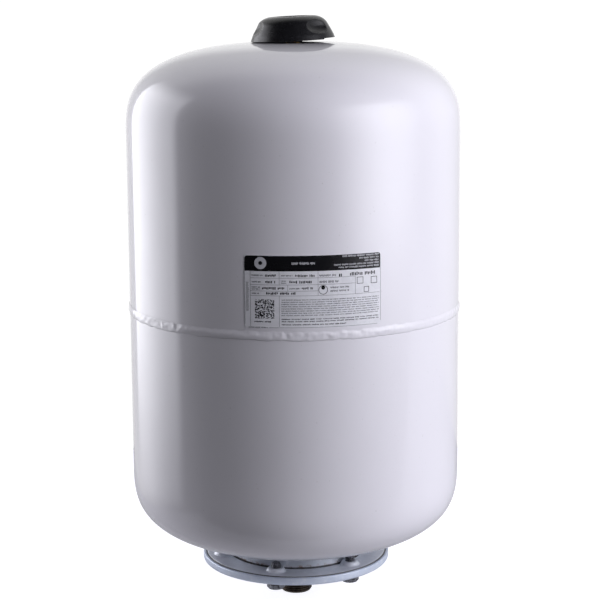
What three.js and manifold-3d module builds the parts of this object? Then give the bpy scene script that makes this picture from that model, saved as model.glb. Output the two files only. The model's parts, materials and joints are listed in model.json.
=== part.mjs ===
// Expansion vessel with a replaceable bladder, as used on drinking-water and pump installations.
// Two deep-drawn steel halves are welded at mid height. A bolted flange with a male threaded water
// connection closes the bottom and clamps the bladder's lip; an air valve under a screw cap is on top.
// Millimetres, +Z up. The origin is the centre of the water connection's lower end face, and the
// azimuth of a feature is counted from the front (-Y) towards the right (+X).
import * as THREE from "three";
import { mergeVertices } from "three/addons/utils/BufferGeometryUtils.js";
import Module from "manifold-3d";

// ---------------------------------------------------------------- driving dimensions

const CLEARANCE = 0.3; // between neighbouring pieces
const BODY_SEGMENTS = 40; // round the shells and the flange
const SMALL_SEGMENTS = 20; // round the small turned pieces
const FINE_SEGMENTS = 12; // round the bolts, the bolt holes and the valve core's pieces
const DOME_STEPS = 7; // along a dome's outline

const shell = { radius: 135, wall: 1.2, seamZ: 247, upperStep: 0.2 };
const upperDome = { tangentZ: 387.1, rise: 72.8, radialPower: 2.63, risePower: 2.92 };
const lowerDome = { tangentZ: 116.8, rise: 69.6, radialPower: 2.68, risePower: 3.43 };
const joggle = { height: 9, ramp: 2.2, shoulderDrop: 5.5 };
const bead = { height: 9.5, bulge: 1.45, toe: 0.2 };
const neck = { radius: 55.5, bottomZ: 33.4, topZ: 52, lipRadius: 58 };
const neckFillet = { legDown: 3.9, legOut: 3.8, bottomZ: 45.3 };

const flange = { underZ: 29.4, floor: 2, radius: 77.9, rimTopZ: 36.2, rimWall: 2.3, cornerRadius: 2.4 };
const ring = { bottomZ: 34.85, topZ: 36.7, innerRadius: 56.3, outerRadius: 75.2, holeRadius: 4.3 };
const boss = { baseRadius: 6.6, topRadius: 5.4, height: 3.1 };
const bolt = { count: 6, circleRadius: 62.5, firstAzimuth: -15, radius: 4, endZ: 43.6, tipRadius: 3 };
const boltHead = { flats: 13, flangeRadius: 8.5, flangeHeight: 1.2, coneHeight: 1.2, height: 6.9 };

const connection = { radius: 13.22, boreRadius: 10.2, faceRadius: 12, chamfer: 1.3 };
const connectionWeld = { leg: 3.2 };
const bladder = { lipRadius: 57.6, lipThickness: 1.5, neckWall: 3, wall: 2, neckGap: 0.5 };
const bulb = { centreZ: 215, radius: 112, upperRise: 150, lowerDrop: 165 };

const ferrule = { radius: 8, flangeRadius: 11, bottomZ: 448, topZ: 460.1, boreRadius: 4.4 };
const oRing = { section: 0.62, seatRadius: 6.4, seatDepth: 1.9, seatTaper: 0.5 };
const stem = { bottomZ: 446, topZ: 476, rootRadius: 4.05, threadRadius: 3.75, chamfer: 0.6 };
const stemBore = { radius: 2.4, seatRadius: 1.3 };
const stemHex = { flats: 9, bottomZ: 460.4, height: 2.9 };
const core = { bottomZ: 466.6, topZ: 475, radius: 2.1, boreRadius: 1.05 };
const pin = { radius: 0.7, topZ: 475.7, tailRadius: 0.6, tailBottomZ: 461.9 };
const pinDisc = { radius: 1.9, thickness: 0.6 };
const pinSeal = { topZ: 466.3, thickness: 1.1, radius: 1.9 };
const spring = { coilRadius: 1.3, wireRadius: 0.25, turns: 4.5, bottomZ: 459.6 };

const cap = { bottomZ: 461.45, radius: 33.9, wall: 2.2, topZ: 480.35, tilt: 1.4, tiltZ: 470, segments: 32 };
const capRecess = { radius: 12.8, depth: 0.8 };
const capSocket = { outerRadius: 6.6, boreRadius: 4.25, bottomZ: 464, roofZ: 477.95 };
const dimple = { azimuths: [44, -76, 164], radius: 29.4, z: 471.6, depth: 3.2, lean: 30 };
const dimpleBall = { across: 26, along: 10.4, deep: 12 };
const capShoulder = { centreRadius: 20.5, centreZ: 473.2, halfWidth: 8.2, rise: 7.05, from: 8 };
const capNotch = { width: 2.6, height: 1.6 };
const capSeal = { radius: 3.85, holeRadius: 1.6, bottomZ: 476.4, thickness: 1.15 };

const nameplate = { fromAzimuth: -15.9, toAzimuth: 29.1, bottomZ: 252.2, height: 55.4 };
const plateFilm = { thickness: 0.3, gap: 0.35 };

const looks = {
  whitePaint: { color: 0xe3e1e8, roughness: 0.22, metalness: 0 },
  zinc: { color: 0xa6b2c4, roughness: 0.38, metalness: 0.85 },
  bolt: { color: 0x8f9398, roughness: 0.35, metalness: 0.9 },
  darkSteel: { color: 0x4c4741, roughness: 0.45, metalness: 0.8 },
  bareSteel: { color: 0x9a9a98, roughness: 0.4, metalness: 0.9 },
  brass: { color: 0xc9a24b, roughness: 0.28, metalness: 1 },
  blackPlastic: { color: 0x1c1b1f, roughness: 0.38, metalness: 0 },
  rubber: { color: 0x1f1f20, roughness: 0.75, metalness: 0 },
  film: { color: 0xd9dadd, roughness: 0.35, metalness: 0 },
};

// ---------------------------------------------------------------- solids and booleans

const wasm = await Module();
wasm.setup();

const radians = THREE.MathUtils.degToRad;

/** Merge a geometry's shared corners into one closed body, dropping triangles with no area. */
function closedBody(geometry) {
  geometry.deleteAttribute("normal");
  geometry.deleteAttribute("uv");
  const merged = mergeVertices(geometry, 1e-4);
  const corners = merged.index.array;
  const kept = [];
  for (let i = 0; i < corners.length; i += 3) {
    const [a, b, c] = corners.slice(i, i + 3);
    if (a !== b && b !== c && c !== a) kept.push(a, b, c);
  }
  merged.setIndex(kept);
  return merged;
}

function toManifold(geometry) {
  const body = closedBody(geometry.clone());
  const mesh = new wasm.Mesh({
    numProp: 3,
    vertProperties: new Float32Array(body.attributes.position.array),
    triVerts: new Uint32Array(body.index.array),
  });
  return new wasm.Manifold(mesh);
}

function toGeometry(manifold) {
  const mesh = manifold.getMesh();
  const geometry = new THREE.BufferGeometry();
  geometry.setAttribute("position", new THREE.BufferAttribute(new Float32Array(mesh.vertProperties), 3));
  geometry.setIndex(new THREE.BufferAttribute(new Uint32Array(mesh.triVerts), 1));
  return geometry;
}

/** The body with the added geometries joined on and then the cut geometries taken away. */
function combine(body, added, cut) {
  const joined = added.reduce((solid, piece) => solid.add(toManifold(piece)), toManifold(body));
  return toGeometry(cut.reduce((solid, tool) => solid.subtract(toManifold(tool)), joined));
}

/** A body of revolution about +Z. The outline is a list of [radius, z] points. */
function turned(outline, segments = SMALL_SEGMENTS) {
  const points = outline.map(([radius, z]) => new THREE.Vector2(radius, z));
  return new THREE.LatheGeometry(points, segments).rotateX(Math.PI / 2);
}

/** A ring of revolution: the outline runs anticlockwise in (radius, z) and is closed here. */
function turnedRing(outline, segments = SMALL_SEGMENTS) {
  return turned([...outline, outline[0]], segments);
}

/** A round rod along +Z between two heights. */
function rod(radius, bottomZ, topZ, segments = SMALL_SEGMENTS) {
  return new THREE.CylinderGeometry(radius, radius, topZ - bottomZ, segments)
    .rotateX(Math.PI / 2)
    .translate(0, 0, (bottomZ + topZ) / 2);
}

/** A hexagonal prism along +Z with a flat towards the front. */
function hexagon(flats, bottomZ, topZ) {
  return rod(flats / Math.sqrt(3), bottomZ, topZ, 6).rotateZ(Math.PI / 6);
}

/** Turn a geometry made at the front (radius along -Y) round to its azimuth. */
function atAzimuth(geometry, azimuth) {
  return geometry.rotateZ(radians(azimuth));
}

/** Points of a superellipse dome, from the cylinder towards the axis, as [radius, z]. */
function domeOutline(dome, radius, rise, direction, endRadius, steps) {
  const last = Math.acos((endRadius / radius) ** (dome.radialPower / 2));
  return Array.from({ length: steps + 1 }, (_, i) => {
    const angle = (last * i) / steps;
    return [
      radius * Math.cos(angle) ** (2 / dome.radialPower),
      dome.tangentZ + direction * rise * Math.sin(angle) ** (2 / dome.risePower),
    ];
  });
}

/** Points on an ellipse's arc in the (radius, z) plane, angles in degrees from the radius axis. */
function ellipseArc(centreRadius, centreZ, radialHalf, zHalf, from, to, steps) {
  return Array.from({ length: steps + 1 }, (_, i) => {
    const angle = radians(from + ((to - from) * i) / steps);
    return [centreRadius + radialHalf * Math.cos(angle), centreZ + zHalf * Math.sin(angle)];
  });
}

const vessel = new THREE.Group();

function addPart(name, geometry, look, parent = vessel) {
  const body = closedBody(geometry);
  body.computeVertexNormals();
  const mesh = new THREE.Mesh(body, new THREE.MeshStandardMaterial(look));
  mesh.name = name;
  parent.add(mesh);
  return mesh;
}

// ---------------------------------------------------------------- shells and seam

const upperRadius = shell.radius + shell.upperStep;
const seatZ = shell.seamZ - 1; // lower edge of the upper shell
const joggleRadius = upperRadius - shell.wall - CLEARANCE; // the lower shell's edge slips inside the upper

function upperShell() {
  const innerRadius = upperRadius - shell.wall;
  const holeRadius = ferrule.radius + CLEARANCE;
  const outer = domeOutline(upperDome, upperRadius, upperDome.rise, 1, holeRadius, DOME_STEPS);
  const inner = domeOutline(upperDome, innerRadius, upperDome.rise - shell.wall, 1, holeRadius, DOME_STEPS);
  const outline = [[innerRadius, seatZ], [upperRadius, seatZ], ...outer, ...inner.reverse()];
  return turnedRing(outline, BODY_SEGMENTS);
}

function lowerShell() {
  const shoulderZ = shell.seamZ - joggle.shoulderDrop;
  const rampTopZ = shoulderZ + joggle.ramp;
  const topZ = shell.seamZ + joggle.height;
  const innerRadius = shell.radius - shell.wall;
  const holeRadius = neck.radius + 1.5 * CLEARANCE;
  const outer = domeOutline(lowerDome, shell.radius, lowerDome.rise, -1, holeRadius, DOME_STEPS);
  const inner = domeOutline(lowerDome, innerRadius, lowerDome.rise - shell.wall, -1, holeRadius, DOME_STEPS);
  const outline = [
    [joggleRadius, topZ],
    [joggleRadius - shell.wall, topZ],
    [joggleRadius - shell.wall, rampTopZ - shell.wall / 2],
    [innerRadius, shoulderZ - shell.wall / 2],
    ...inner,
    ...outer.reverse(),
    [shell.radius, shoulderZ],
    [joggleRadius, rampTopZ],
  ];
  return turnedRing(outline, BODY_SEGMENTS);
}

/** The collar in the lower shell's mouth, with its lip rolled out under the backing ring. */
function neckCollar() {
  const boreRadius = neck.radius - shell.wall;
  const lipTopZ = neck.bottomZ + shell.wall;
  const outline = [
    [boreRadius + 0.5, neck.bottomZ],
    [neck.lipRadius, neck.bottomZ],
    [neck.lipRadius, lipTopZ],
    [neck.radius + 0.9, lipTopZ],
    [neck.radius, lipTopZ + 0.8],
    [neck.radius, neck.topZ],
    [boreRadius, neck.topZ],
    [boreRadius, neck.bottomZ + 0.9],
  ];
  return turnedRing(outline, BODY_SEGMENTS);
}

/** The fillet weld between the collar and the underside of the lower dome. */
function neckWeld() {
  const innerRadius = neck.radius + CLEARANCE;
  const topZ = neckFillet.bottomZ + neckFillet.legDown;
  const outline = [
    [innerRadius, neckFillet.bottomZ],
    [innerRadius + neckFillet.legOut * 0.35, neckFillet.bottomZ + neckFillet.legDown * 0.5],
    [innerRadius + neckFillet.legOut, topZ - 0.5],
    [innerRadius + neckFillet.legOut, topZ],
    [innerRadius, topZ - 0.35],
  ];
  return turnedRing(outline, BODY_SEGMENTS);
}

/** The painted weld bead over the seam, keyed into the groove above the joggle. */
function seamWeld() {
  const half = bead.height / 2;
  const grooveRadius = joggleRadius + CLEARANCE;
  const grooveTopZ = seatZ - CLEARANCE;
  const grooveBottomZ = shell.seamZ - joggle.shoulderDrop + joggle.ramp + 2 * CLEARANCE;
  const toeRadius = upperRadius + CLEARANCE;
  const face = ellipseArc(toeRadius - bead.toe, shell.seamZ, bead.bulge, half, -80, 80, 5);
  const outline = [
    [grooveRadius, grooveBottomZ],
    [toeRadius - bead.toe, shell.seamZ - half],
    ...face,
    [toeRadius, shell.seamZ + half],
    [toeRadius, grooveTopZ],
    [grooveRadius, grooveTopZ],
  ];
  return turnedRing(outline, BODY_SEGMENTS);
}

// ---------------------------------------------------------------- bolted flange and connection

const boltAzimuths = Array.from({ length: bolt.count }, (_, i) => bolt.firstAzimuth + (i * 360) / bolt.count);

/** A tool for one bolt hole, standing at its place on the bolt circle. */
function boltHole(azimuth, radius) {
  const tool = rod(radius, flange.underZ - 5, bolt.endZ, FINE_SEGMENTS);
  return atAzimuth(tool.translate(0, -bolt.circleRadius, 0), azimuth);
}

function backingRing() {
  const plate = turnedRing(
    [
      [ring.innerRadius, ring.bottomZ],
      [ring.outerRadius, ring.bottomZ],
      [ring.outerRadius, ring.topZ],
      [ring.innerRadius, ring.topZ],
    ],
    BODY_SEGMENTS,
  );
  const rootZ = (ring.bottomZ + ring.topZ) / 2;
  const height = ring.topZ + boss.height - rootZ;
  const bosses = boltAzimuths.map((azimuth) => {
    const cone = new THREE.CylinderGeometry(boss.topRadius, boss.baseRadius, height, 16);
    cone.rotateX(Math.PI / 2).translate(0, -bolt.circleRadius, rootZ + height / 2);
    return atAzimuth(cone, azimuth);
  });
  const holes = boltAzimuths.map((azimuth) => boltHole(azimuth, ring.holeRadius));
  return combine(plate, bosses, holes);
}

/** The counterflange: a pressed cup whose rim turns up round the backing ring. */
function counterflange() {
  const floorTopZ = flange.underZ + flange.floor;
  const rimInner = flange.radius - flange.rimWall;
  const corner = ellipseArc(
    flange.radius - flange.cornerRadius, flange.underZ + flange.cornerRadius,
    flange.cornerRadius, flange.cornerRadius, -90, 0, 3,
  );
  const holeRadius = connection.radius + CLEARANCE;
  const cup = turnedRing(
    [
      [holeRadius, flange.underZ],
      ...corner,
      [flange.radius, flange.rimTopZ - 0.5],
      [flange.radius - 0.5, flange.rimTopZ],
      [rimInner + 0.4, flange.rimTopZ],
      [rimInner, flange.rimTopZ - 0.4],
      [rimInner, floorTopZ + 0.8],
      [rimInner - 0.7, floorTopZ],
      [holeRadius, floorTopZ],
    ],
    BODY_SEGMENTS,
  );
  return combine(cup, [], boltAzimuths.map((azimuth) => boltHole(azimuth, ring.holeRadius + 0.2)));
}

/** A flanged hex bolt at the origin: its seat is at z = 0 and the shank points up. */
function flangedBolt(length) {
  const chamfer = bolt.radius - bolt.tipRadius;
  const coneZ = -boltHead.flangeHeight;
  const coneBottomZ = coneZ - boltHead.coneHeight;
  const hexCorner = boltHead.flats / Math.sqrt(3);
  const body = turned(
    [
      [0, coneBottomZ],
      [boltHead.flats / 2, coneBottomZ],
      [boltHead.flangeRadius, coneZ],
      [boltHead.flangeRadius, 0],
      [bolt.radius, 0],
      [bolt.radius, length - chamfer],
      [bolt.tipRadius, length - 0.2],
      [0, length],
    ],
    FINE_SEGMENTS,
  );
  const chamferedBlank = turned(
    [
      [0, -boltHead.height],
      [boltHead.flats / 2 - 0.4, -boltHead.height],
      [hexCorner + 0.1, -boltHead.height + 1.1],
      [hexCorner + 0.1, coneZ],
      [0, coneZ],
    ],
    FINE_SEGMENTS,
  );
  const hex = toManifold(hexagon(boltHead.flats, -boltHead.height - 1, coneZ - 0.1));
  return combine(body, [toGeometry(hex.intersect(toManifold(chamferedBlank)))], []);
}

/** The male threaded connection, with its thread as a plain cylinder of the crest diameter. */
function waterConnection() {
  const topZ = flange.underZ + flange.floor;
  return turnedRing([
    [connection.boreRadius, 0],
    [connection.faceRadius, 0],
    [connection.radius, connection.chamfer],
    [connection.radius, topZ],
    [connection.boreRadius, topZ],
  ]);
}

/** The fillet weld that holds the connection under the counterflange. */
function connectionWeldRing() {
  const innerRadius = connection.radius + CLEARANCE;
  const topZ = flange.underZ - CLEARANCE;
  return turnedRing([
    [innerRadius, topZ - connectionWeld.leg],
    [innerRadius + connectionWeld.leg * 0.6, topZ - connectionWeld.leg * 0.6],
    [innerRadius + connectionWeld.leg, topZ],
    [innerRadius, topZ],
  ]);
}

/** The rubber bladder, half filled: a flat lip, a neck through the shell's mouth, and a bulb. */
function rubberBladder() {
  const lipBottomZ = flange.underZ + flange.floor + 0.25;
  const lipTopZ = lipBottomZ + bladder.lipThickness;
  const neckOuter = neck.radius - shell.wall - bladder.neckGap;
  const neckInner = neckOuter - bladder.neckWall;
  const angleWhere = (radius, widest) => THREE.MathUtils.radToDeg(Math.acos(radius / widest));
  const innerRadius = bulb.radius - bladder.wall;
  const outer = [
    ...ellipseArc(0, bulb.centreZ, bulb.radius, bulb.lowerDrop, -angleWhere(neckOuter, bulb.radius), 0, 4),
    ...ellipseArc(0, bulb.centreZ, bulb.radius, bulb.upperRise, 22.5, 90, 3),
  ];
  const inner = [
    ...ellipseArc(0, bulb.centreZ, innerRadius, bulb.upperRise - bladder.wall, 90, 22.5, 3),
    ...ellipseArc(
      0, bulb.centreZ, innerRadius, bulb.lowerDrop - bladder.wall, 0, -angleWhere(neckInner, innerRadius), 4,
    ),
  ];
  return turned(
    [
      ...inner,
      [neckInner, lipBottomZ],
      [bladder.lipRadius, lipBottomZ],
      [bladder.lipRadius, lipTopZ],
      [neckOuter, lipTopZ],
      ...outer,
    ],
    28,
  );
}

// ---------------------------------------------------------------- air valve

/** The threaded ferrule welded into the crown, with a seat for the O-ring in its top. */
function valveFerrule() {
  const crownZ = upperDome.tangentZ + upperDome.rise;
  const shoulderZ = crownZ - shell.wall - 1.5 * CLEARANCE;
  return turnedRing([
    [ferrule.boreRadius, ferrule.bottomZ],
    [ferrule.flangeRadius, ferrule.bottomZ],
    [ferrule.flangeRadius, shoulderZ],
    [ferrule.radius, shoulderZ],
    [ferrule.radius, ferrule.topZ],
    [oRing.seatRadius, ferrule.topZ],
    [oRing.seatRadius - oRing.seatTaper, ferrule.topZ - oRing.seatDepth],
    [ferrule.boreRadius, ferrule.topZ - oRing.seatDepth],
  ]);
}

function valveORing() {
  const centreRadius = stem.rootRadius + CLEARANCE + oRing.section;
  const centreZ = ferrule.topZ - oRing.seatDepth + CLEARANCE + oRing.section;
  return turnedRing(ellipseArc(centreRadius, centreZ, oRing.section, oRing.section, 0, 300, 5));
}

/** The brass valve stem: a threaded root, a hexagon, the cap's thread and a stepped bore. */
function valveStem() {
  const hexTopZ = stemHex.bottomZ + stemHex.height;
  const barrel = turned([
    [0, stem.bottomZ],
    [stem.rootRadius, stem.bottomZ],
    [stem.rootRadius, stemHex.bottomZ + 0.5],
    [stem.threadRadius, stemHex.bottomZ + 0.5],
    [stem.threadRadius, stem.topZ - stem.chamfer],
    [stem.threadRadius - stem.chamfer, stem.topZ],
    [0, stem.topZ],
  ]);
  const bore = turned([
    [0, stem.bottomZ - 1],
    [stemBore.seatRadius, stem.bottomZ - 1],
    [stemBore.seatRadius, spring.bottomZ - CLEARANCE],
    [stemBore.radius, spring.bottomZ - CLEARANCE],
    [stemBore.radius, stem.topZ + 1],
    [0, stem.topZ + 1],
  ], FINE_SEGMENTS);
  return combine(barrel, [hexagon(stemHex.flats, stemHex.bottomZ, hexTopZ)], [bore]);
}

/** The core's threaded plug, bored for the pin. */
function valveCore() {
  return turnedRing([
    [core.boreRadius, core.bottomZ],
    [core.radius - 0.4, core.bottomZ],
    [core.radius, core.bottomZ + 0.8],
    [core.radius, core.topZ],
    [core.boreRadius, core.topZ],
  ], FINE_SEGMENTS);
}

const discTopZ = pinSeal.topZ - pinSeal.thickness - 0.2; // the pin's disc carries the rubber seal above it

function valvePin() {
  return turned([
    [0, pin.tailBottomZ],
    [pin.tailRadius, pin.tailBottomZ],
    [pin.tailRadius, discTopZ - pinDisc.thickness],
    [pinDisc.radius, discTopZ - pinDisc.thickness],
    [pinDisc.radius, discTopZ],
    [pin.radius, discTopZ],
    [pin.radius, pin.topZ - 0.3],
    [pin.radius - 0.25, pin.topZ],
    [0, pin.topZ],
  ], FINE_SEGMENTS);
}

function valvePinSeal() {
  return turnedRing([
    [pin.radius + 0.2, pinSeal.topZ - pinSeal.thickness],
    [pinSeal.radius, pinSeal.topZ - pinSeal.thickness],
    [pinSeal.radius, pinSeal.topZ - 0.3],
    [pinSeal.radius - 0.3, pinSeal.topZ],
    [pin.radius + 0.2, pinSeal.topZ],
  ], FINE_SEGMENTS);
}

class Helix extends THREE.Curve {
  getPoint(t) {
    const topZ = discTopZ - pinDisc.thickness - CLEARANCE - spring.wireRadius;
    const lowZ = spring.bottomZ + spring.wireRadius;
    const angle = t * spring.turns * 2 * Math.PI;
    return new THREE.Vector3(
      spring.coilRadius * Math.cos(angle),
      spring.coilRadius * Math.sin(angle),
      lowZ + t * (topZ - lowZ),
    );
  }
}

function valveSpring() {
  const wire = new THREE.Shape().absarc(0, 0, spring.wireRadius, 0, 2 * Math.PI);
  return new THREE.ExtrudeGeometry(wire, {
    extrudePath: new Helix(),
    steps: Math.round(spring.turns * 9),
    curveSegments: 3,
    bevelEnabled: false,
  });
}

// ---------------------------------------------------------------- valve cap

/** The cap's outside, from the axis under it to the axis on top, with straight sides and a round shoulder. */
function capOutside() {
  const { centreRadius, centreZ, halfWidth, rise, from } = capShoulder;
  const shoulder = ellipseArc(centreRadius, centreZ, halfWidth, rise, from, 90, 6);
  return turned(
    [
      [0, cap.bottomZ],
      [cap.radius, cap.bottomZ],
      [cap.radius - 1.5, cap.bottomZ + 4.2],
      [cap.radius - 3.4, cap.bottomZ + 8],
      ...shoulder,
      [capRecess.radius + 0.5, cap.topZ],
      [capRecess.radius, cap.topZ - capRecess.depth],
      [0, cap.topZ - capRecess.depth],
    ],
    cap.segments,
  );
}

/** The hollow under the cap, offset inwards by the wall. */
function capHollow() {
  const { centreRadius, centreZ, halfWidth, rise, from } = capShoulder;
  const bottomZ = centreZ - 1.8; // the wall's offset, down and inwards
  const inward = centreRadius - 2;
  const shoulder = ellipseArc(inward, bottomZ, halfWidth - 0.2, capSocket.roofZ - bottomZ, from, 90, 4);
  return turned(
    [
      [0, cap.bottomZ - 1],
      [cap.radius - cap.wall + 0.2, cap.bottomZ - 1],
      [cap.radius - cap.wall - 1.5, cap.bottomZ + 4.2],
      [cap.radius - cap.wall - 3.4, cap.bottomZ + 7.6],
      ...shoulder,
      [0, capSocket.roofZ],
    ],
    cap.segments,
  );
}

/** The ellipsoid that presses one finger dimple, grown by a margin on every side. */
function dimpleTool(azimuth, margin) {
  const { across, along, deep } = dimpleBall;
  const reach = deep - dimple.depth;
  const lean = radians(dimple.lean);
  const ball = new THREE.SphereGeometry(1, 16, 9);
  ball.scale(across + margin, deep + margin, along + margin);
  ball.rotateX(-lean);
  ball.translate(0, -dimple.radius - reach * Math.cos(lean), dimple.z + reach * Math.sin(lean));
  return atAzimuth(ball, azimuth);
}

function valveCap() {
  const hollow = combine(capHollow(), [], dimple.azimuths.map((azimuth) => dimpleTool(azimuth, cap.wall)));
  const dimples = dimple.azimuths.map((azimuth) => dimpleTool(azimuth, 0));
  const moulding = combine(capOutside(), [], [...dimples, hollow]);
  const socket = rod(capSocket.outerRadius, capSocket.bottomZ, capSocket.roofZ + 0.4);
  const bore = rod(capSocket.boreRadius, capSocket.bottomZ - 1, capSocket.roofZ);
  const notches = dimple.azimuths.map((azimuth) => {
    const slot = new THREE.BoxGeometry(capNotch.width, 8, capNotch.height * 2);
    return atAzimuth(slot.translate(0, -cap.radius, cap.bottomZ), azimuth);
  });
  return combine(moulding, [socket], [bore, ...notches]);
}

function capSealWasher() {
  const topZ = capSeal.bottomZ + capSeal.thickness;
  return turnedRing([
    [capSeal.holeRadius, capSeal.bottomZ],
    [capSeal.radius, capSeal.bottomZ],
    [capSeal.radius, topZ],
    [capSeal.holeRadius, topZ],
  ]);
}

// ---------------------------------------------------------------- nameplate

/** A thin plate bent round the upper shell: a ring sector extruded upwards. */
function curvedNameplate() {
  const innerRadius = upperRadius + plateFilm.gap;
  const from = radians(nameplate.fromAzimuth - 90);
  const to = radians(nameplate.toAzimuth - 90);
  const sector = new THREE.Shape()
    .absarc(0, 0, innerRadius + plateFilm.thickness, from, to, false)
    .absarc(0, 0, innerRadius, to, from, true);
  return new THREE.ExtrudeGeometry(sector, {
    depth: nameplate.height,
    curveSegments: 12,
    bevelEnabled: false,
  }).translate(0, 0, nameplate.bottomZ);
}

// ---------------------------------------------------------------- assembly

addPart("upper_shell", upperShell(), looks.whitePaint);
addPart("lower_shell", lowerShell(), looks.whitePaint);
addPart("seam_weld", seamWeld(), looks.whitePaint);
addPart("nameplate", curvedNameplate(), looks.film);
addPart("neck_collar", neckCollar(), looks.zinc);
addPart("neck_weld", neckWeld(), looks.zinc);

addPart("backing_ring", backingRing(), looks.zinc);
addPart("counterflange", counterflange(), looks.zinc);
addPart("water_connection", waterConnection(), looks.darkSteel);
addPart("connection_weld", connectionWeldRing(), looks.zinc);
addPart("bladder", rubberBladder(), looks.rubber);

const boltSeatZ = flange.underZ - 0.25;
boltAzimuths.forEach((azimuth, i) => {
  const mesh = addPart(`flange_bolt_${i + 1}`, flangedBolt(bolt.endZ - boltSeatZ), looks.bolt);
  const angle = radians(azimuth);
  mesh.position.set(bolt.circleRadius * Math.sin(angle), -bolt.circleRadius * Math.cos(angle), boltSeatZ);
});

addPart("valve_ferrule", valveFerrule(), looks.bareSteel);
addPart("valve_o_ring", valveORing(), looks.rubber);
addPart("valve_stem", valveStem(), looks.brass);
addPart("valve_core", valveCore(), looks.brass);
addPart("valve_pin", valvePin(), looks.brass);
addPart("valve_pin_seal", valvePinSeal(), looks.rubber);
addPart("valve_spring", valveSpring(), looks.bareSteel);
addPart("cap_seal", capSealWasher(), looks.rubber);

// The cap sits slightly askew on its thread, higher on the right.
const skew = new THREE.Group();
skew.position.set(0, 0, cap.tiltZ);
skew.rotation.y = -radians(cap.tilt);
vessel.add(skew);
addPart("valve_cap", valveCap().translate(0, 0, -cap.tiltZ), looks.blackPlastic, skew);

export default vessel;
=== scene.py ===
"""Looks of the expansion vessel: fine meshes, materials, a pale floor, soft studio light and a camera.

Lengths are in millimetres until a mesh is made, +Z is up, and an azimuth is counted in degrees from
the front (-Y) towards the right (+X), as in the CAD model. A profile is a list of (radius, z) points.
"""

import json
import math
from types import SimpleNamespace as Sizes

import bmesh
import bpy
import numpy as np
from mathutils import Matrix, Vector, noise

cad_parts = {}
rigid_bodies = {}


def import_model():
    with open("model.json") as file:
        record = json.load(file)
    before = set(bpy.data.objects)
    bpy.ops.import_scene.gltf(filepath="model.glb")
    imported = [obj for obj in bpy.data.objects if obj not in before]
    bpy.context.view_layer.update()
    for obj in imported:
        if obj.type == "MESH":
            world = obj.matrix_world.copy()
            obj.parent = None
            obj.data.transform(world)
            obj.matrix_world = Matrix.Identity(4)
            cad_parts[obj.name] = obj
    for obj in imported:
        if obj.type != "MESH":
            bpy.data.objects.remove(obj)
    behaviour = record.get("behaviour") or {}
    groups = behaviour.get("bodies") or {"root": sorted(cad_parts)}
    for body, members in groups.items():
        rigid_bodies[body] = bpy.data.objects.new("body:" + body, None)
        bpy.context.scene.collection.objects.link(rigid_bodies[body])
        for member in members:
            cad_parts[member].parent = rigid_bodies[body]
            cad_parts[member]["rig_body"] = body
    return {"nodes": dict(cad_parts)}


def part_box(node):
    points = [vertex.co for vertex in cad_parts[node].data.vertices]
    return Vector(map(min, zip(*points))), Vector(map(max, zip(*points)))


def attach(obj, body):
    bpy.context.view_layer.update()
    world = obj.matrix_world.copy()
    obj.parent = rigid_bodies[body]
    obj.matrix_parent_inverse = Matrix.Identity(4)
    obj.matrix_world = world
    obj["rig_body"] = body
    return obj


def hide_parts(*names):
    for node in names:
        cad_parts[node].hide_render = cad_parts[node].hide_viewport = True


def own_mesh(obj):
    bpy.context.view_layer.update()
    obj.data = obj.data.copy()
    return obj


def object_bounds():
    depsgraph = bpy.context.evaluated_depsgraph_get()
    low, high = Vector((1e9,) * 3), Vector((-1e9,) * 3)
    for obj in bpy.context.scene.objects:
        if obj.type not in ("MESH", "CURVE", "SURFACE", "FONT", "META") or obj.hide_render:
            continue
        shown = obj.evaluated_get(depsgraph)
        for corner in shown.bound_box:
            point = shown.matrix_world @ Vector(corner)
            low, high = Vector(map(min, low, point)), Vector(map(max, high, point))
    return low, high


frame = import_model()
cad_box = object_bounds()

MM = 0.001


def extent(node):
    """The lowest and highest corner of a CAD node, in millimetres."""
    low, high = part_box(node)
    return low / MM, high / MM


# ---------------------------------------------------------------- sizes

SHELL_RADIUS = extent("lower_shell")[1].x
SEAM_Z = 247
WALL = 1.2
upper_dome = Sizes(
    radius=extent("upper_shell")[1].x, tangent_z=387.1, rise=72.8, radial_power=2.63, rise_power=2.92,
)
lower_dome = Sizes(radius=SHELL_RADIUS, tangent_z=116.8, rise=-69.6, radial_power=2.68, rise_power=3.43)
joggle = Sizes(radius=133.7, top_z=extent("lower_shell")[1].z, shoulder_z=243.4, ramp=0.9)
bead = Sizes(half_height=4, bulge=0.9, crest=0.62, start=-50, start_width=8, repair=4, repair_width=16)
bead_lumps = Sizes(radius=135, long=30, short=4, long_depth=0.3, short_depth=0.25, patch_depth=0.6)
bead_toe = Sizes(long=14, short=5, depth=0.6)
bead_ripple = Sizes(count=300, lean=2.2, depth=0.03)
neck = Sizes(radius=55.5, bottom_z=extent("neck_collar")[0].z, top_z=52, lip_radius=58)
neck_fillet = Sizes(bottom_z=45.3, leg_down=3.9, leg_out=3.8)

flange = Sizes(
    under_z=extent("counterflange")[0].z, floor=2, radius=extent("counterflange")[1].x,
    rim_top_z=extent("counterflange")[1].z, rim_wall=2.3, corner=2.4,
)
ring = Sizes(bottom_z=extent("backing_ring")[0].z, top_z=36.7, inner=56.3, outer=75.2, hole=4.3, edge=0.9)
boss = Sizes(top_radius=5.6, foot_radius=8.6, height=3.1)
bolt = Sizes(count=6, circle=62.5, first_azimuth=-15, radius=4, pitch=1.25, thread_depth=0.62, chamfer=0.9)
bolt_head = Sizes(flats=13, flange_radius=8.5, flange_height=1.2, cone_height=1.2, height=6.9)
BOLT_SEAT_Z = extent("flange_bolt_1")[0].z + bolt_head.height
BOLT_END_Z = extent("flange_bolt_1")[1].z

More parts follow.
